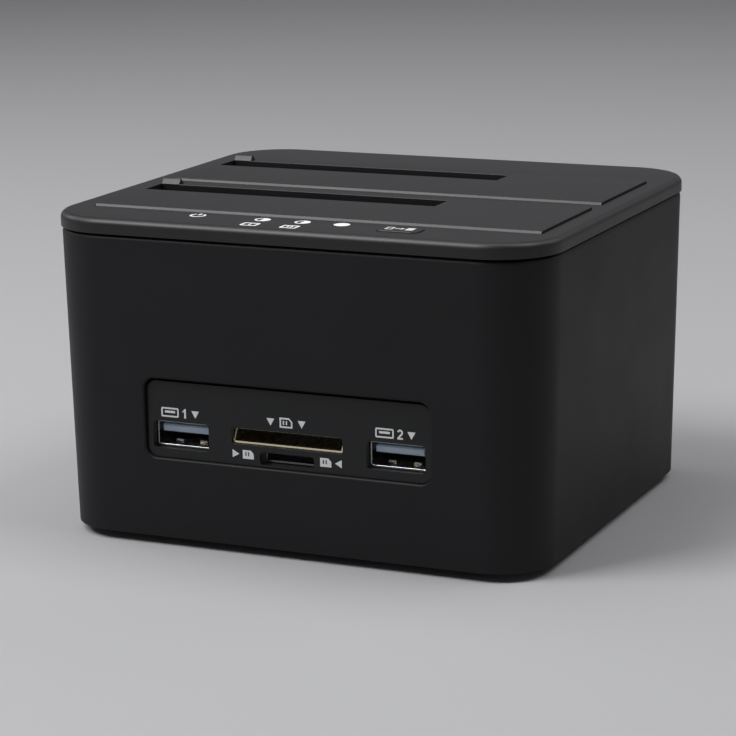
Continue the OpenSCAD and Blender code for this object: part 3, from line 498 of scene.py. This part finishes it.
@dataclass
class Workshop:
    """Keeps the finishes that have been made, and hangs pieces on the part's bodies.

    In a copy of a node, points closer than weld, in metres, are joined, faces that bend less than flat_deg
    are merged, and edges that bend more than sharp_deg stay sharp or are softened.
    """

    made: dict[str, bpy.types.Material] = field(default_factory=dict)
    weld: float = 1e-7
    flat_deg: float = 0.2
    sharp_deg: float = 32.0
    edge_strips: int = 2

    def material(self, finish: Finish) -> bpy.types.Material:
        """Gives a finish's material, made once.

        Args:
            finish: Finish to look up or make.

        Returns:
            The material.
        """
        if finish.name not in self.made:
            self.made[finish.name] = finish.build()
        return self.made[finish.name]

    def dress_nodes(self) -> None:
        """Gives every node of the frame the finish of its slot."""
        for name, node in frame["nodes"].items():
            slot = Slot(node.data.materials[0].name.split(".")[0])
            node.data.materials[0] = self.material(FINISHES[slot])
            node["slot"] = slot.value
            log.info("%s takes %s", name, FINISHES[slot].name)

    def hang(self, piece: bpy.types.Object, body: str) -> bpy.types.Object:
        """Puts a new piece into the scene, on one body.

        Args:
            piece: The new object.
            body: Body that it moves with.

        Returns:
            The same piece.
        """
        bpy.context.scene.collection.objects.link(piece)
        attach(piece, body)
        log.info("%s rides on %s", piece.name, body)
        return piece

    def extrude(self, name: str, profile: Outline, spans: Sequence[Point], slot: Slot) -> bpy.types.Object:
        """Makes one piece of several prisms that share a section, on the dock.

        Args:
            name: Name of the piece.
            profile: Section as (y, z) points in millimetres, anticlockwise as seen from +x.
            spans: First and last x of each prism, in millimetres.
            slot: Slot of the part that its finish belongs to.

        Returns:
            The new piece.
        """
        shape = bmesh.new()
        for span in spans:
            start, end = ([(x * MM, y * MM, z * MM) for y, z in profile] for x in span)
            add_prism(shape, start, end)
        piece = to_object(shape, name)
        piece.data.materials.append(self.material(FINISHES[slot]))
        return self.hang(piece, DOCK)

    def moulded_mesh(self, node: str) -> bpy.types.Mesh:
        """Copies a node's mesh, with its flat faces joined and its shading smooth up to the sharp edges.

        Args:
            node: Node to copy.

        Returns:
            The new mesh.
        """
        mesh = frame["nodes"][node].data.copy()
        mesh.name = node + "_moulded"
        shape = bmesh.new()
        shape.from_mesh(mesh)
        bmesh.ops.remove_doubles(shape, verts=shape.verts, dist=self.weld)
        bmesh.ops.dissolve_limit(shape, angle_limit=math.radians(self.flat_deg), verts=shape.verts,
                                 edges=shape.edges)
        shape.to_mesh(mesh)
        shape.free()
        if "custom_normal" in mesh.attributes:
            mesh.attributes.remove(mesh.attributes["custom_normal"])
        mesh.shade_smooth()
        mesh.set_sharp_from_angle(angle=math.radians(self.sharp_deg))
        return mesh

    def soften(self, node: str, edge_mm: float = 0.0) -> bpy.types.Object:
        """Stands a copy with softened edges in for a moulded node.

        Args:
            node: Node that the copy stands for.
            edge_mm: Width of the softened edges, or 0 to keep them as they are.

        Returns:
            The softened piece.
        """
        source = frame["nodes"][node]
        piece = bpy.data.objects.new(node + "_moulded", self.moulded_mesh(node))
        if edge_mm > 0:
            bevel = piece.modifiers.new("soft_edges", "BEVEL")
            bevel.width = edge_mm * MM
            bevel.segments = self.edge_strips
            bevel.limit_method = "ANGLE"
            bevel.angle_limit = math.radians(self.sharp_deg)
            bevel.harden_normals = True
            bevel.miter_outer = "MITER_ARC"
        self.hang(piece, source["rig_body"])
        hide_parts(node)
        return piece


def arc(centre: Point, radius: float, start_deg: float, end_deg: float, steps: int = 24) -> Outline:
    """Gives points along an arc.

    Args:
        centre: Middle of the arc, in millimetres.
        radius: Radius, in millimetres.
        start_deg: Angle of the first point.
        end_deg: Angle of the last point.
        steps: Chords along the arc.

    Returns:
        The points, both ends included.
    """
    angles = [math.radians(start_deg + (end_deg - start_deg) * i / steps) for i in range(steps + 1)]
    return [(centre[0] + radius * math.cos(a), centre[1] + radius * math.sin(a)) for a in angles]


def disc(centre: Point, radius: float) -> Outline:
    """Gives the outline of a disc."""
    return arc(centre, radius, 0, 360, 36)[:-1]


def bow(centre: Point, radius: float, line: float, start_deg: float, end_deg: float) -> Outline:
    """Gives the outline of a band along an arc."""
    outer = arc(centre, radius + line / 2, start_deg, end_deg)
    return outer + arc(centre, radius - line / 2, end_deg, start_deg)


def plate(centre: Point, width: float, height: float, corner: float = 0.1) -> Outline:
    """Gives the outline of a rectangle with rounded corners.

    Args:
        centre: Middle of the rectangle, in millimetres.
        width: Width, in millimetres.
        height: Height, in millimetres.
        corner: Radius of the corners, in millimetres.

    Returns:
        The outline, anticlockwise.
    """
    across, up = width / 2 - corner, height / 2 - corner
    turns = ((across, up, 0), (-across, up, 90), (-across, -up, 180), (across, -up, 270))
    return [p for x, y, a in turns for p in arc((centre[0] + x, centre[1] + y), corner, a, a + 90, 4)]


def border(centre: Point, size: Point, line: float, corner: float,
           least_corner: float = 0.05) -> list[Outline]:
    """Gives a rectangle's border.

    Args:
        centre: Middle of the rectangle, in millimetres.
        size: Width and height, in millimetres.
        line: Width of the border, in millimetres.
        corner: Radius of the outer corners, in millimetres.
        least_corner: Least radius of the inner corners, in millimetres.

    Returns:
        The outer outline and the hole in it.
    """
    width, height = size
    inner_corner = max(corner - line, least_corner)
    return [plate(centre, width, height, corner),
            plate(centre, width - 2 * line, height - 2 * line, inner_corner)]


def moved(outline: Sequence[Point], centre: Point) -> Outline:
    """Gives an outline moved from the origin to a centre."""
    return [(centre[0] + u, centre[1] + v) for u, v in outline]


# A triangle that points along x, for a size of 1 mm.
TRIANGLE: Outline = [(0.5, 0.0), (-0.42, 0.52), (-0.42, -0.52)]
# A plain 1 and a plain 2, about 2.1 mm high, in millimetres.
ONE: Outline = [(-0.5, 0.45), (0.02, 1.05), (0.32, 1.05), (0.32, -1.05), (-0.12, -1.05), (-0.12, 0.5),
                (-0.5, 0.1)]
TWO: Outline = [*arc((0.0, 0.42), 0.66, 170, -40, 14),
                (-0.08, -0.68), (0.64, -0.68), (0.64, -1.05), (-0.66, -1.05), (-0.66, -0.78),
                *arc((0.0, 0.42), 0.27, -40, 170, 14)]


def pointer(centre: Point, size: float, way: Pointing) -> Outline:
    """Gives a triangle that points one way.

    Args:
        centre: Middle of the triangle, in millimetres.
        size: Its size, in millimetres.
        way: Direction of its tip.

    Returns:
        The outline.
    """
    turn = math.radians(way.value)
    cos, sin = math.cos(turn), math.sin(turn)
    return moved([(size * (u * cos - v * sin), size * (u * sin + v * cos)) for u, v in TRIANGLE], centre)


def card(centre: Point, width: float, height: float, clip: float) -> Outline:
    """Gives the outline of a memory card, with its clipped corner at the upper right.

    Args:
        centre: Middle of the card, in millimetres.
        width: Width, in millimetres.
        height: Height, in millimetres.
        clip: Length that the clipped corner takes off each edge, in millimetres.

    Returns:
        The outline.
    """
    right, top = width / 2, height / 2
    outline = [(-right, -top), (right, -top), (right, top - clip), (right - clip, top), (-right, top)]
    return moved(outline, centre)


@dataclass(frozen=True)
class PrintBed:
    """A flat face of a body that takes print, with two directions along it.

    The film is sunk a little into the face and stands just proud of it.
    """

    origin: Place
    across: Place
    up: Place
    ink: Ink
    body: str = DOCK
    film_mm: float = 0.04
    lift_share: float = 0.3
    weld_mm: float = 1e-4

    def film(self, name: str, outlines: Sequence[Outline]) -> bpy.types.Mesh:
        """Fills outlines as a thin film with real edges, flat at the origin and in millimetres.

        Args:
            name: Name of the mark.
            outlines: Closed outlines in millimetres on the face. One inside another is a hole.

        Returns:
            The new mesh.
        """
        curve = bpy.data.curves.new(name, "CURVE")
        curve.dimensions = "2D"
        curve.fill_mode = "BOTH"
        curve.extrude = self.film_mm / 2
        for outline in outlines:
            spline = curve.splines.new("POLY")
            spline.points.add(len(outline) - 1)
            for point, (u, v) in zip(spline.points, outline):
                point.co = (u, v, 0.0, 1.0)
            spline.use_cyclic_u = True
        stencil = bpy.data.objects.new(name, curve)
        mesh = bpy.data.meshes.new_from_object(stencil)
        bpy.data.objects.remove(stencil)
        bpy.data.curves.remove(curve)
        shape = bmesh.new()
        shape.from_mesh(mesh)
        bmesh.ops.remove_doubles(shape, verts=shape.verts, dist=self.weld_mm)
        bmesh.ops.recalc_face_normals(shape, faces=shape.faces)
        shape.to_mesh(mesh)
        shape.free()
        mesh.name = name
        return mesh

    def lay(self, shop: Workshop, name: str, outlines: Sequence[Outline]) -> bpy.types.Object:
        """Prints one mark on the face.

        Args:
            shop: Workshop that hangs the mark.
            name: Name of the mark.
            outlines: Closed outlines in millimetres on the face. One inside another is a hole.

        Returns:
            The new mark.
        """
        mesh = self.film(name, outlines)
        across, up = Vector(self.across), Vector(self.up)
        out = across.cross(up)
        turn = Matrix((across, up, out)).transposed().to_4x4()
        place = Matrix.Translation(Vector(self.origin) + out * self.film_mm * MM * self.lift_share)
        mesh.transform(place @ turn @ Matrix.Scale(MM, 4))
        mesh.materials.clear()
        mesh.materials.append(shop.material(self.ink))
        return shop.hang(bpy.data.objects.new(name, mesh), self.body)


@dataclass(frozen=True)
class CardSign:
    """The sign of a memory card with its contacts, filled or drawn as a line. Sizes are in millimetres."""

    size: Point
    clip: float
    contact: Point
    contacts_at: tuple[Point, ...]
    hole: Point | None = None
    hole_clip: float = 0.0

    def outlines(self, centre: Point) -> list[Outline]:
        """Gives the sign's outlines.

        Args:
            centre: Middle of the sign, in millimetres.

        Returns:
            The card, the hole in it if it has one, and its contacts.
        """
        shapes = [card(centre, *self.size, self.clip)]
        if self.hole is not None:
            shapes.append(card(centre, *self.hole, self.hole_clip))
        return shapes + [plate(place, *self.contact) for place in moved(self.contacts_at, centre)]


@dataclass(frozen=True)
class FrontMarks:
    """Pad-printed marks on the port panel: numbered sockets, and cards with pointers to their slots.

    Sizes are in millimetres. A shift is along x from the middle of its mark.
    """

    ink: Ink = Ink("white_pad_print", "#d2d3d4")
    socket_x: float = 25.2
    socket_z: float = 30.0
    socket_shift: float = -2.5
    socket_size: Point = (4.2, 2.1)
    socket_line: float = 0.34
    socket_corner: float = 0.35
    tongue_size: Point = (2.5, 0.5)
    tongue_rise: float = 0.12
    digit_shift: float = 1.05
    pointer_shift: float = 3.6
    pointer_size: float = 1.75
    card_z: float = 30.1
    card_pointer_x: float = 3.65
    card_sign: CardSign = CardSign((3.0, 2.2), 0.8, (0.32, 0.9), ((-0.6, 0.0), (0.1, 0.0)), (2.3, 1.5), 0.55)
    small_card_x: float = 9.1
    small_card_z: float = 22.33
    small_card_sign: CardSign = CardSign((2.6, 1.9), 0.7, (0.3, 0.9), ((-0.55, 0.1), (0.1, 0.1)))
    small_pointer_x: float = 12.1
    small_pointer_size: float = 1.7

    def socket_mark(self, side: Side, number: Outline) -> list[Outline]:
        """Draws a socket, its number and a pointer down to it.

        Args:
            side: Side of the panel.
            number: Outline of its number.

        Returns:
            The outlines.
        """
        x, z = side.way * self.socket_x, self.socket_z
        socket_x = x + self.socket_shift
        return [*border((socket_x, z), self.socket_size, self.socket_line, self.socket_corner),
                plate((socket_x, z + self.tongue_rise), *self.tongue_size),
                moved(number, (x + self.digit_shift, z)),
                pointer((x + self.pointer_shift, z), self.pointer_size, Pointing.DOWN)]

    def small_card_mark(self, side: Side) -> list[Outline]:
        """Draws a small card, and outside it a pointer towards its slot.

        Args:
            side: Side of the panel.

        Returns:
            The outlines.
        """
        tip = (side.way * self.small_pointer_x, self.small_card_z)
        inward = Pointing.RIGHT if side is Side.LEFT else Pointing.LEFT
        return [*self.small_card_sign.outlines((side.way * self.small_card_x, self.small_card_z)),
                pointer(tip, self.small_pointer_size, inward)]

    def card_mark(self) -> list[Outline]:
        """Draws a large card between two pointers down to its slot.

        Returns:
            The outlines.
        """
        tips = ((-self.card_pointer_x, self.card_z), (self.card_pointer_x, self.card_z))
        pointers = [pointer(tip, self.pointer_size, Pointing.DOWN) for tip in tips]
        return self.card_sign.outlines((0.0, self.card_z)) + pointers

    def build(self, shop: Workshop) -> None:
        """Prints the marks.

        Args:
            shop: Workshop that hangs them.
        """
        face_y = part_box("front_panel")[0][1]
        bed = PrintBed((0.0, face_y, 0.0), ALONG_X, ALONG_Z, self.ink)
        for side, number in ((Side.LEFT, ONE), (Side.RIGHT, TWO)):
            bed.lay(shop, side.value + "_socket_mark", self.socket_mark(side, number))
            bed.lay(shop, side.value + "_small_card_mark", self.small_card_mark(side))
        bed.lay(shop, "card_mark", self.card_mark())


@dataclass(frozen=True)
class DeckMarks:
    """Marks on the deck over the light guides, and the mark on the copy button. Sizes are in millimetres."""

    ink: Ink = Ink("lit_white_print", "#dfe0e2", glow=0.12)
    key_ink: Ink = Ink("white_key_print", "#d2d3d4")
    front_y: float = -46.0
    line: float = 0.5
    power: Point = (-24.0, -42.2)
    power_radius: float = 1.55
    power_arc_deg: Point = (125.0, 415.0)
    stem_size: Point = (0.5, 1.7)
    stem_rise: float = 1.15
    work_lights: tuple[Point, ...] = ((-8.5, -42.35), (0.85, -42.35))
    disc_radius: float = 1.75
    half_radius: float = 1.3
    half_arc_deg: Point = (95.0, 265.0)
    bay_lights: tuple[Point, ...] = ((-8.6, -48.2), (0.6, -48.2))
    bay_size: Point = (3.8, 3.2)
    bay_corner: float = 0.5
    bar_size: Point = (0.42, 1.3)
    bar_pitch: float = 0.85
    ready: Point = (9.9, -42.3)
    drive_size: Point = (1.7, 2.5)
    drive_line: float = 0.36
    drive_corner: float = 0.3
    drive_shift: float = 2.3
    arrow: tuple[Point, ...] = ((-1.15, 0.2), (0.2, 0.2), (0.2, 0.8), (1.15, 0.0), (0.2, -0.8), (0.2, -0.2),
                                (-1.15, -0.2))

    def build(self, shop: Workshop) -> None:
        """Prints the marks.

        Args:
            shop: Workshop that hangs them.
        """
        bed = PrintBed((0.0, 0.0, self.deck_height()), ALONG_X, ALONG_Y, self.ink)
        ring = bow(self.power, self.power_radius, self.line, *self.power_arc_deg)
        stem = plate((self.power[0], self.power[1] + self.stem_rise), *self.stem_size)
        bed.lay(shop, "power_mark", [ring, stem])
        for number, place in enumerate(self.work_lights, start=1):
            half = arc(place, self.half_radius, *self.half_arc_deg)
            bed.lay(shop, f"work_mark_{number}", [disc(place, self.disc_radius), half])
        for number, place in enumerate(self.bay_lights, start=1):
            bed.lay(shop, f"bay_mark_{number}", self.bay_mark(place, number))
        bed.lay(shop, "ready_mark", [disc(self.ready, self.disc_radius)])
        self.mark_button(shop)

    def bay_mark(self, place: Point, number: int) -> list[Outline]:
        """Draws a drive with as many bars as its bay's number.

        Args:
            place: Middle of the mark.
            number: Number of the bay.

        Returns:
            The outlines.
        """
        x, y = place
        steps = [k - (number - 1) / 2 for k in range(number)]
        bars = [plate((x + self.bar_pitch * step, y), *self.bar_size) for step in steps]
        return [*border(place, self.bay_size, self.line, self.bay_corner), *bars]

    def mark_button(self, shop: Workshop) -> None:
        """Prints two drives and an arrow between them on the copy button.

        Args:
            shop: Workshop that hangs the mark.
        """
        low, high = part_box("clone_button")
        x, y = ((low[i] + high[i]) / 2 / MM for i in (0, 1))
        key = PrintBed((0.0, 0.0, high[2]), ALONG_X, ALONG_Y, self.key_ink, "clone_button")
        key.lay(shop, "copy_mark",
                [*border((x - self.drive_shift, y), self.drive_size, self.drive_line, self.drive_corner),
                 moved(self.arrow, (x, y)),
                 plate((x + self.drive_shift, y), *self.drive_size, self.drive_corner)])

    def deck_height(self) -> float:
        """Gives the deck's height in metres, as the top of the lid around the copy button's hole."""
        lid = frame["nodes"]["top_cover"].data
        return max(v.co.z for v in lid.vertices if v.co.y < self.front_y * MM)


@dataclass(frozen=True)
class FrontSocket:
    """A front socket's inside: a light tongue with a chamfered nose, and the block that holds it, black as
    painted shade.
    """

    side: Side
    inset_mm: float = 0.6
    drop_mm: float = 0.6
    thick_mm: float = 1.6
    block_mm: float = 2.9
    nose_mm: float = 0.3

    def section(self, front: float, back: float, under: float, top: float) -> Outline:
        """Gives a section with a chamfered front.

        Args:
            front: Least y, in millimetres.
            back: Greatest y, in millimetres.
            under: Least z, in millimetres.
            top: Greatest z, in millimetres.

        Returns:
            The section as (y, z) points.
        """
        nose = self.nose_mm
        return [(front, under + nose), (front + nose, under), (back, under),
                (back, top), (front + nose, top), (front, top - nose)]

    def build(self, shop: Workshop) -> None:
        """Makes the tongue and the block, whose black is painted shade deep in the socket; both stand for
        one node.

        Args:
            shop: Workshop that makes and hangs them.
        """
        side = self.side.value
        node = side + "_usb_tongue"
        low, high = ([c / MM for c in corner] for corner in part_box(node))
        wall = high[1] - self.block_mm
        top = high[2] - self.drop_mm
        tongue = shop.extrude(side + "_tongue", self.section(low[1], wall, top - self.thick_mm, top),
                              [(low[0] + self.inset_mm, high[0] - self.inset_mm)], Slot.TONGUE)
        # The block takes black nylon as painted shade: it darkens the socket's inside behind the tongue.
        shade_block = shop.extrude(side + "_tongue_block", self.section(wall, high[1], low[2], high[2]),
                             [(low[0], high[0])], Slot.SOCKET)
        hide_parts(node)
        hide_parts(node)


@dataclass(frozen=True)
class CardLip:
    """The large card slot's shell, whose floor stands out as a lip in front of its roof and sides."""

    node: str = "card_slot_shell"
    lip_mm: float = 1.3
    floor_mm: float = 0.6
    front_mm: float = 0.2

    def build(self, shop: Workshop) -> None:
        """Sets the front of the roof and sides back in a copy of the shell, which stands for it.

        Args:
            shop: Workshop that copies the shell.
        """
        low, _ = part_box(self.node)
        piece = shop.soften(self.node)
        for vertex in piece.data.vertices:
            if vertex.co.y < low[1] + self.front_mm * MM and vertex.co.z > low[2] + self.floor_mm * MM:
                vertex.co.y += self.lip_mm * MM


@dataclass(frozen=True)
class DriveContacts:
    """The sprung gold contacts along the blade slots of a drive socket.

    A contact is sunk a little into its slot's wall, bulges towards the blade, and goes down to its root.
    """

    bay: Bay
    pitch_mm: float = 1.27
    width_mm: float = 0.8
    end_mm: float = 3.0
    data_mm: float = 11.2
    data_count: int = 7
    power_mm: float = 21.6
    power_count: int = 15
    gap_mm: float = 2.4
    sunk_mm: float = 0.02
    bulge_mm: float = 0.45
    tip_mm: float = 0.6
    bulge_top_mm: float = 1.7
    bulge_end_mm: float = 2.2
    root_mm: float = 6.0

    def row(self, start: float, length: float, count: int) -> list[Point]:
        """Spaces a row of contacts about the middle of a slot.

        Args:
            start: First x of the slot, in millimetres.
            length: Length of the slot, in millimetres.
            count: Number of contacts.

        Returns:
            First and last x of each contact, in millimetres.
        """
        first = start + (length - (count - 1) * self.pitch_mm) / 2
        centres = [first + k * self.pitch_mm for k in range(count)]
        return [(x - self.width_mm / 2, x + self.width_mm / 2) for x in centres]

    def build(self, shop: Workshop) -> None:
        """Makes the contacts of both slots.

        Args:
            shop: Workshop that makes and hangs them.
        """
        bay = self.bay.value
        low, high = ([c / MM for c in corner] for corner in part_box(bay + "_drive_socket"))
        wall, top = (low[1] + high[1]) / 2 + self.gap_mm / 2, high[2]
        back, crest = wall + self.sunk_mm, wall - self.bulge_mm
        profile = [(back, top - self.tip_mm), (crest, top - self.bulge_top_mm),
                   (crest, top - self.bulge_end_mm), (back, top - self.root_mm)]
        data = self.row(low[0] + self.end_mm, self.data_mm, self.data_count)
        power = self.row(high[0] - self.end_mm - self.power_mm, self.power_mm, self.power_count)
        shop.extrude(bay + "_drive_contacts", profile, data + power, Slot.GOLD)


@dataclass(frozen=True)
class FlapSpring:
    """A flap's torsion spring, which twists between its leg on the well and its leg under the flap."""

    bay: Bay
    leg_mm: float = 0.4

    def build(self) -> None:
        """Stands a copy in for the spring, which stays where it is."""
        node, flap = self.bay.value + "_flap_spring", self.bay.value + "_flap"
        source = frame["nodes"][node]
        piece = bpy.data.objects.new(self.bay.value + "_torsion_spring", source.data.copy())
        bpy.context.scene.collection.objects.link(piece)
        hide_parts(node)
        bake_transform(piece)
        log.info("%s turns between %s and %s", piece.name, DOCK, flap)


@dataclass(frozen=True)
class CrossRecess:
    """The cross recesses in the heads of the base screws."""

    node: str = "base_screws"
    span_mm: float = 2.6
    blade_mm: float = 0.6
    depth_mm: float = 0.9
    clear_mm: float = 0.2

    def heads(self) -> list[Point]:
        """Finds the middle of each screw, one at each corner of the base.

        Returns:
            The middles as (x, y), in millimetres.
        """
        corners: dict[tuple[bool, bool], list[Vector]] = {}
        for vertex in frame["nodes"][self.node].data.vertices:
            corners.setdefault((vertex.co.x > 0, vertex.co.y > 0), []).append(vertex.co / MM)
        spans = [[(min(p[i] for p in points), max(p[i] for p in points)) for i in (0, 1)]
                 for points in corners.values()]
        return [((x[0] + x[1]) / 2, (y[0] + y[1]) / 2) for x, y in spans]

    def cutter(self) -> bpy.types.Object:
        """Makes the crosses that are cut away, in one object.

        Returns:
            The new object, not yet in the scene.
        """
        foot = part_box(self.node)[0][2] / MM
        long, thin = self.span_mm / 2, self.blade_mm / 2
        arm = [(long, -thin), (long, thin), (thin, thin)]
        quarters = [arm, [(-y, x) for x, y in arm], [(-x, -y) for x, y in arm], [(y, -x) for x, y in arm]]
        cross = [point for quarter in quarters for point in quarter]
        shape = bmesh.new()
        for head in self.heads():
            start, end = ([(x * MM, y * MM, z * MM) for x, y in moved(cross, head)]
                          for z in (foot - self.clear_mm, foot + self.depth_mm))
            add_prism(shape, start, end)
        return to_object(shape, "cross_cutter")

    def build(self, shop: Workshop) -> None:
        """Cuts the recesses into a copy of the screws, which stands for them.

        Args:
            shop: Workshop that copies the screws.
        """
        cutter = self.cutter()
        piece = shop.soften(self.node)
        bpy.context.scene.collection.objects.link(cutter)
        cut = piece.modifiers.new("recess", "BOOLEAN")
        cut.operation = "DIFFERENCE"
        cut.object = cutter
        graph = bpy.context.evaluated_depsgraph_get()
        piece.data = bpy.data.meshes.new_from_object(piece.evaluated_get(graph))
        piece.modifiers.clear()
        bpy.data.objects.remove(cutter)


@dataclass(frozen=True)
class Camera:
    """The photograph's camera: where it stands and how it is turned, with a long lens."""

    eye: Place = (0.24246, -0.54987, 0.17078)
    yaw_deg: float = 24.10
    pitch_deg: float = 13.09
    roll_deg: float = 0.816
    lens_mm: float = 132.44
    sensor_mm: float = 36.0
    nearest: float = 0.01
    farthest: float = 50.0

    def build(self) -> None:
        """Makes the camera and hands it to the scene."""
        yaw, pitch, roll = (math.radians(a) for a in (self.yaw_deg, self.pitch_deg, self.roll_deg))
        ahead = math.cos(pitch)
        forward = Vector((-math.sin(yaw) * ahead, math.cos(yaw) * ahead, -math.sin(pitch)))
        level = forward.cross(Vector(ALONG_Z)).normalized()
        down = forward.cross(level)
        right = math.cos(roll) * level + math.sin(roll) * down
        up = math.sin(roll) * level - math.cos(roll) * down
        data = bpy.data.cameras.new("photograph")
        data.lens = self.lens_mm
        data.sensor_width = self.sensor_mm
        data.clip_start = self.nearest
        data.clip_end = self.farthest
        camera = bpy.data.objects.new("photograph", data)
        turn = Matrix((right, up, -forward)).transposed().to_4x4()
        camera.matrix_world = Matrix.Translation(Vector(self.eye)) @ turn
        bpy.context.scene.collection.objects.link(camera)
        bpy.context.scene.camera = camera


@dataclass(frozen=True)
class Softbox:
    """A rectangular white studio lamp, aimed at a point. Sizes are in metres, and power is in watts."""

    name: str
    place: Place
    width: float
    height: float
    power: float
    aim: Place = (0.0, 0.0, 0.06)

    def build(self) -> None:
        """Makes the lamp."""
        data = bpy.data.lights.new(self.name, "AREA")
        data.shape = "RECTANGLE"
        data.size = self.width
        data.size_y = self.height
        data.energy = self.power
        lamp = bpy.data.objects.new(self.name, data)
        lamp.location = self.place
        lamp.rotation_mode = "QUATERNION"
        lamp.rotation_quaternion = (Vector(self.aim) - Vector(self.place)).to_track_quat("-Z", "Y")
        bpy.context.scene.collection.objects.link(lamp)


@dataclass(frozen=True)
class Studio:
    """A pale floor under soft light, in a dim grey room.

    The room goes from its horizon's colour to its ceiling's, between two heights of the line of sight.
    """

    floor_side: float = 12.0
    floor_paper: MattPaper = MattPaper("pale_paper_floor", "#a4a4a6")
    horizon_colour: str = "#8a8a8d"
    horizon_top: float = 0.25
    ceiling_colour: str = "#4c4c4e"
    ceiling_height: float = 0.6
    lamps: tuple[Softbox, ...] = (
        Softbox("key", (-0.46, -0.50, 0.94), 0.44, 0.66, 11.4),
        Softbox("overhead", (-0.05, 0.14, 1.15), 1.1, 0.6, 3.8, aim=(-0.05, 0.14, 0.0)),
        Softbox("left_fill", (-0.95, 0.10, 0.62), 0.45, 0.45, 2.0),
        Softbox("right_top", (0.66, 0.08, 1.10), 0.55, 0.55, 4.2),
        Softbox("right_fill", (0.66, 0.72, 0.74), 0.50, 0.45, 1.3),
        Softbox("back", (0.0, 1.20, 0.95), 1.6, 0.60, 0.8),
    )

    def lay_floor(self) -> None:
        """Makes the floor."""
        half = self.floor_side / 2
        mesh = bpy.data.meshes.new("floor")
        corners = [(-half, -half, 0), (half, -half, 0), (half, half, 0), (-half, half, 0)]
        mesh.from_pydata(corners, [], [(0, 1, 2, 3)])
        mesh.materials.append(self.floor_paper.build())
        floor = bpy.data.objects.new("floor", mesh)
        bpy.context.scene.collection.objects.link(floor)

    def paint_room(self) -> None:
        """Makes the grey room around the scene."""
        world = bpy.data.worlds.new("grey_room")
        world.use_nodes = True
        tree = world.node_tree
        way = add_node(tree, "TexCoord").outputs["Generated"]
        height = add_node(tree, "SeparateXYZ", {"Vector": way}).outputs["Z"]
        shades = add_node(tree, "ValToRGB", {"Fac": height})
        horizon, ceiling = shades.color_ramp.elements
        horizon.color = linear(self.horizon_colour)
        horizon.position = self.horizon_top
        ceiling.color = linear(self.ceiling_colour)
        ceiling.position = self.ceiling_height
        tree.links.new(shades.outputs["Color"], tree.nodes["Background"].inputs["Color"])
        bpy.context.scene.world = world

    def build(self) -> None:
        """Makes the floor, the room and the lamps."""
        self.lay_floor()
        self.paint_room()
        for lamp in self.lamps:
            lamp.build()


# Nodes that a smooth-shaded copy stands for, with the width of its softened edges.
SOFT_EDGES_MM: dict[str, float] = {
    "housing": 0.0, "top_cover": 0.0, "front_flap": 0.2, "rear_flap": 0.2, "front_panel": 0.35,
    "clone_button": 0.3, "power_button": 0.3, "left_usb_shell": 0.1, "right_usb_shell": 0.1,
}


def main() -> None:
    """Builds the scene in order."""
    logging.basicConfig(level=logging.INFO, format="%(message)s")
    bpy.context.scene.view_settings.view_transform = "Standard"
    Camera().build()
    Studio().build()
    shop = Workshop()
    shop.dress_nodes()
    for node, edge_mm in SOFT_EDGES_MM.items():
        shop.soften(node, edge_mm)
    FrontMarks().build(shop)
    DeckMarks().build(shop)
    for side in Side:
        FrontSocket(side).build(shop)
    CardLip().build(shop)
    for bay in Bay:
        DriveContacts(bay).build(shop)
        FlapSpring(bay).build()
    CrossRecess().build(shop)


if __name__ == "__main__":
    main()
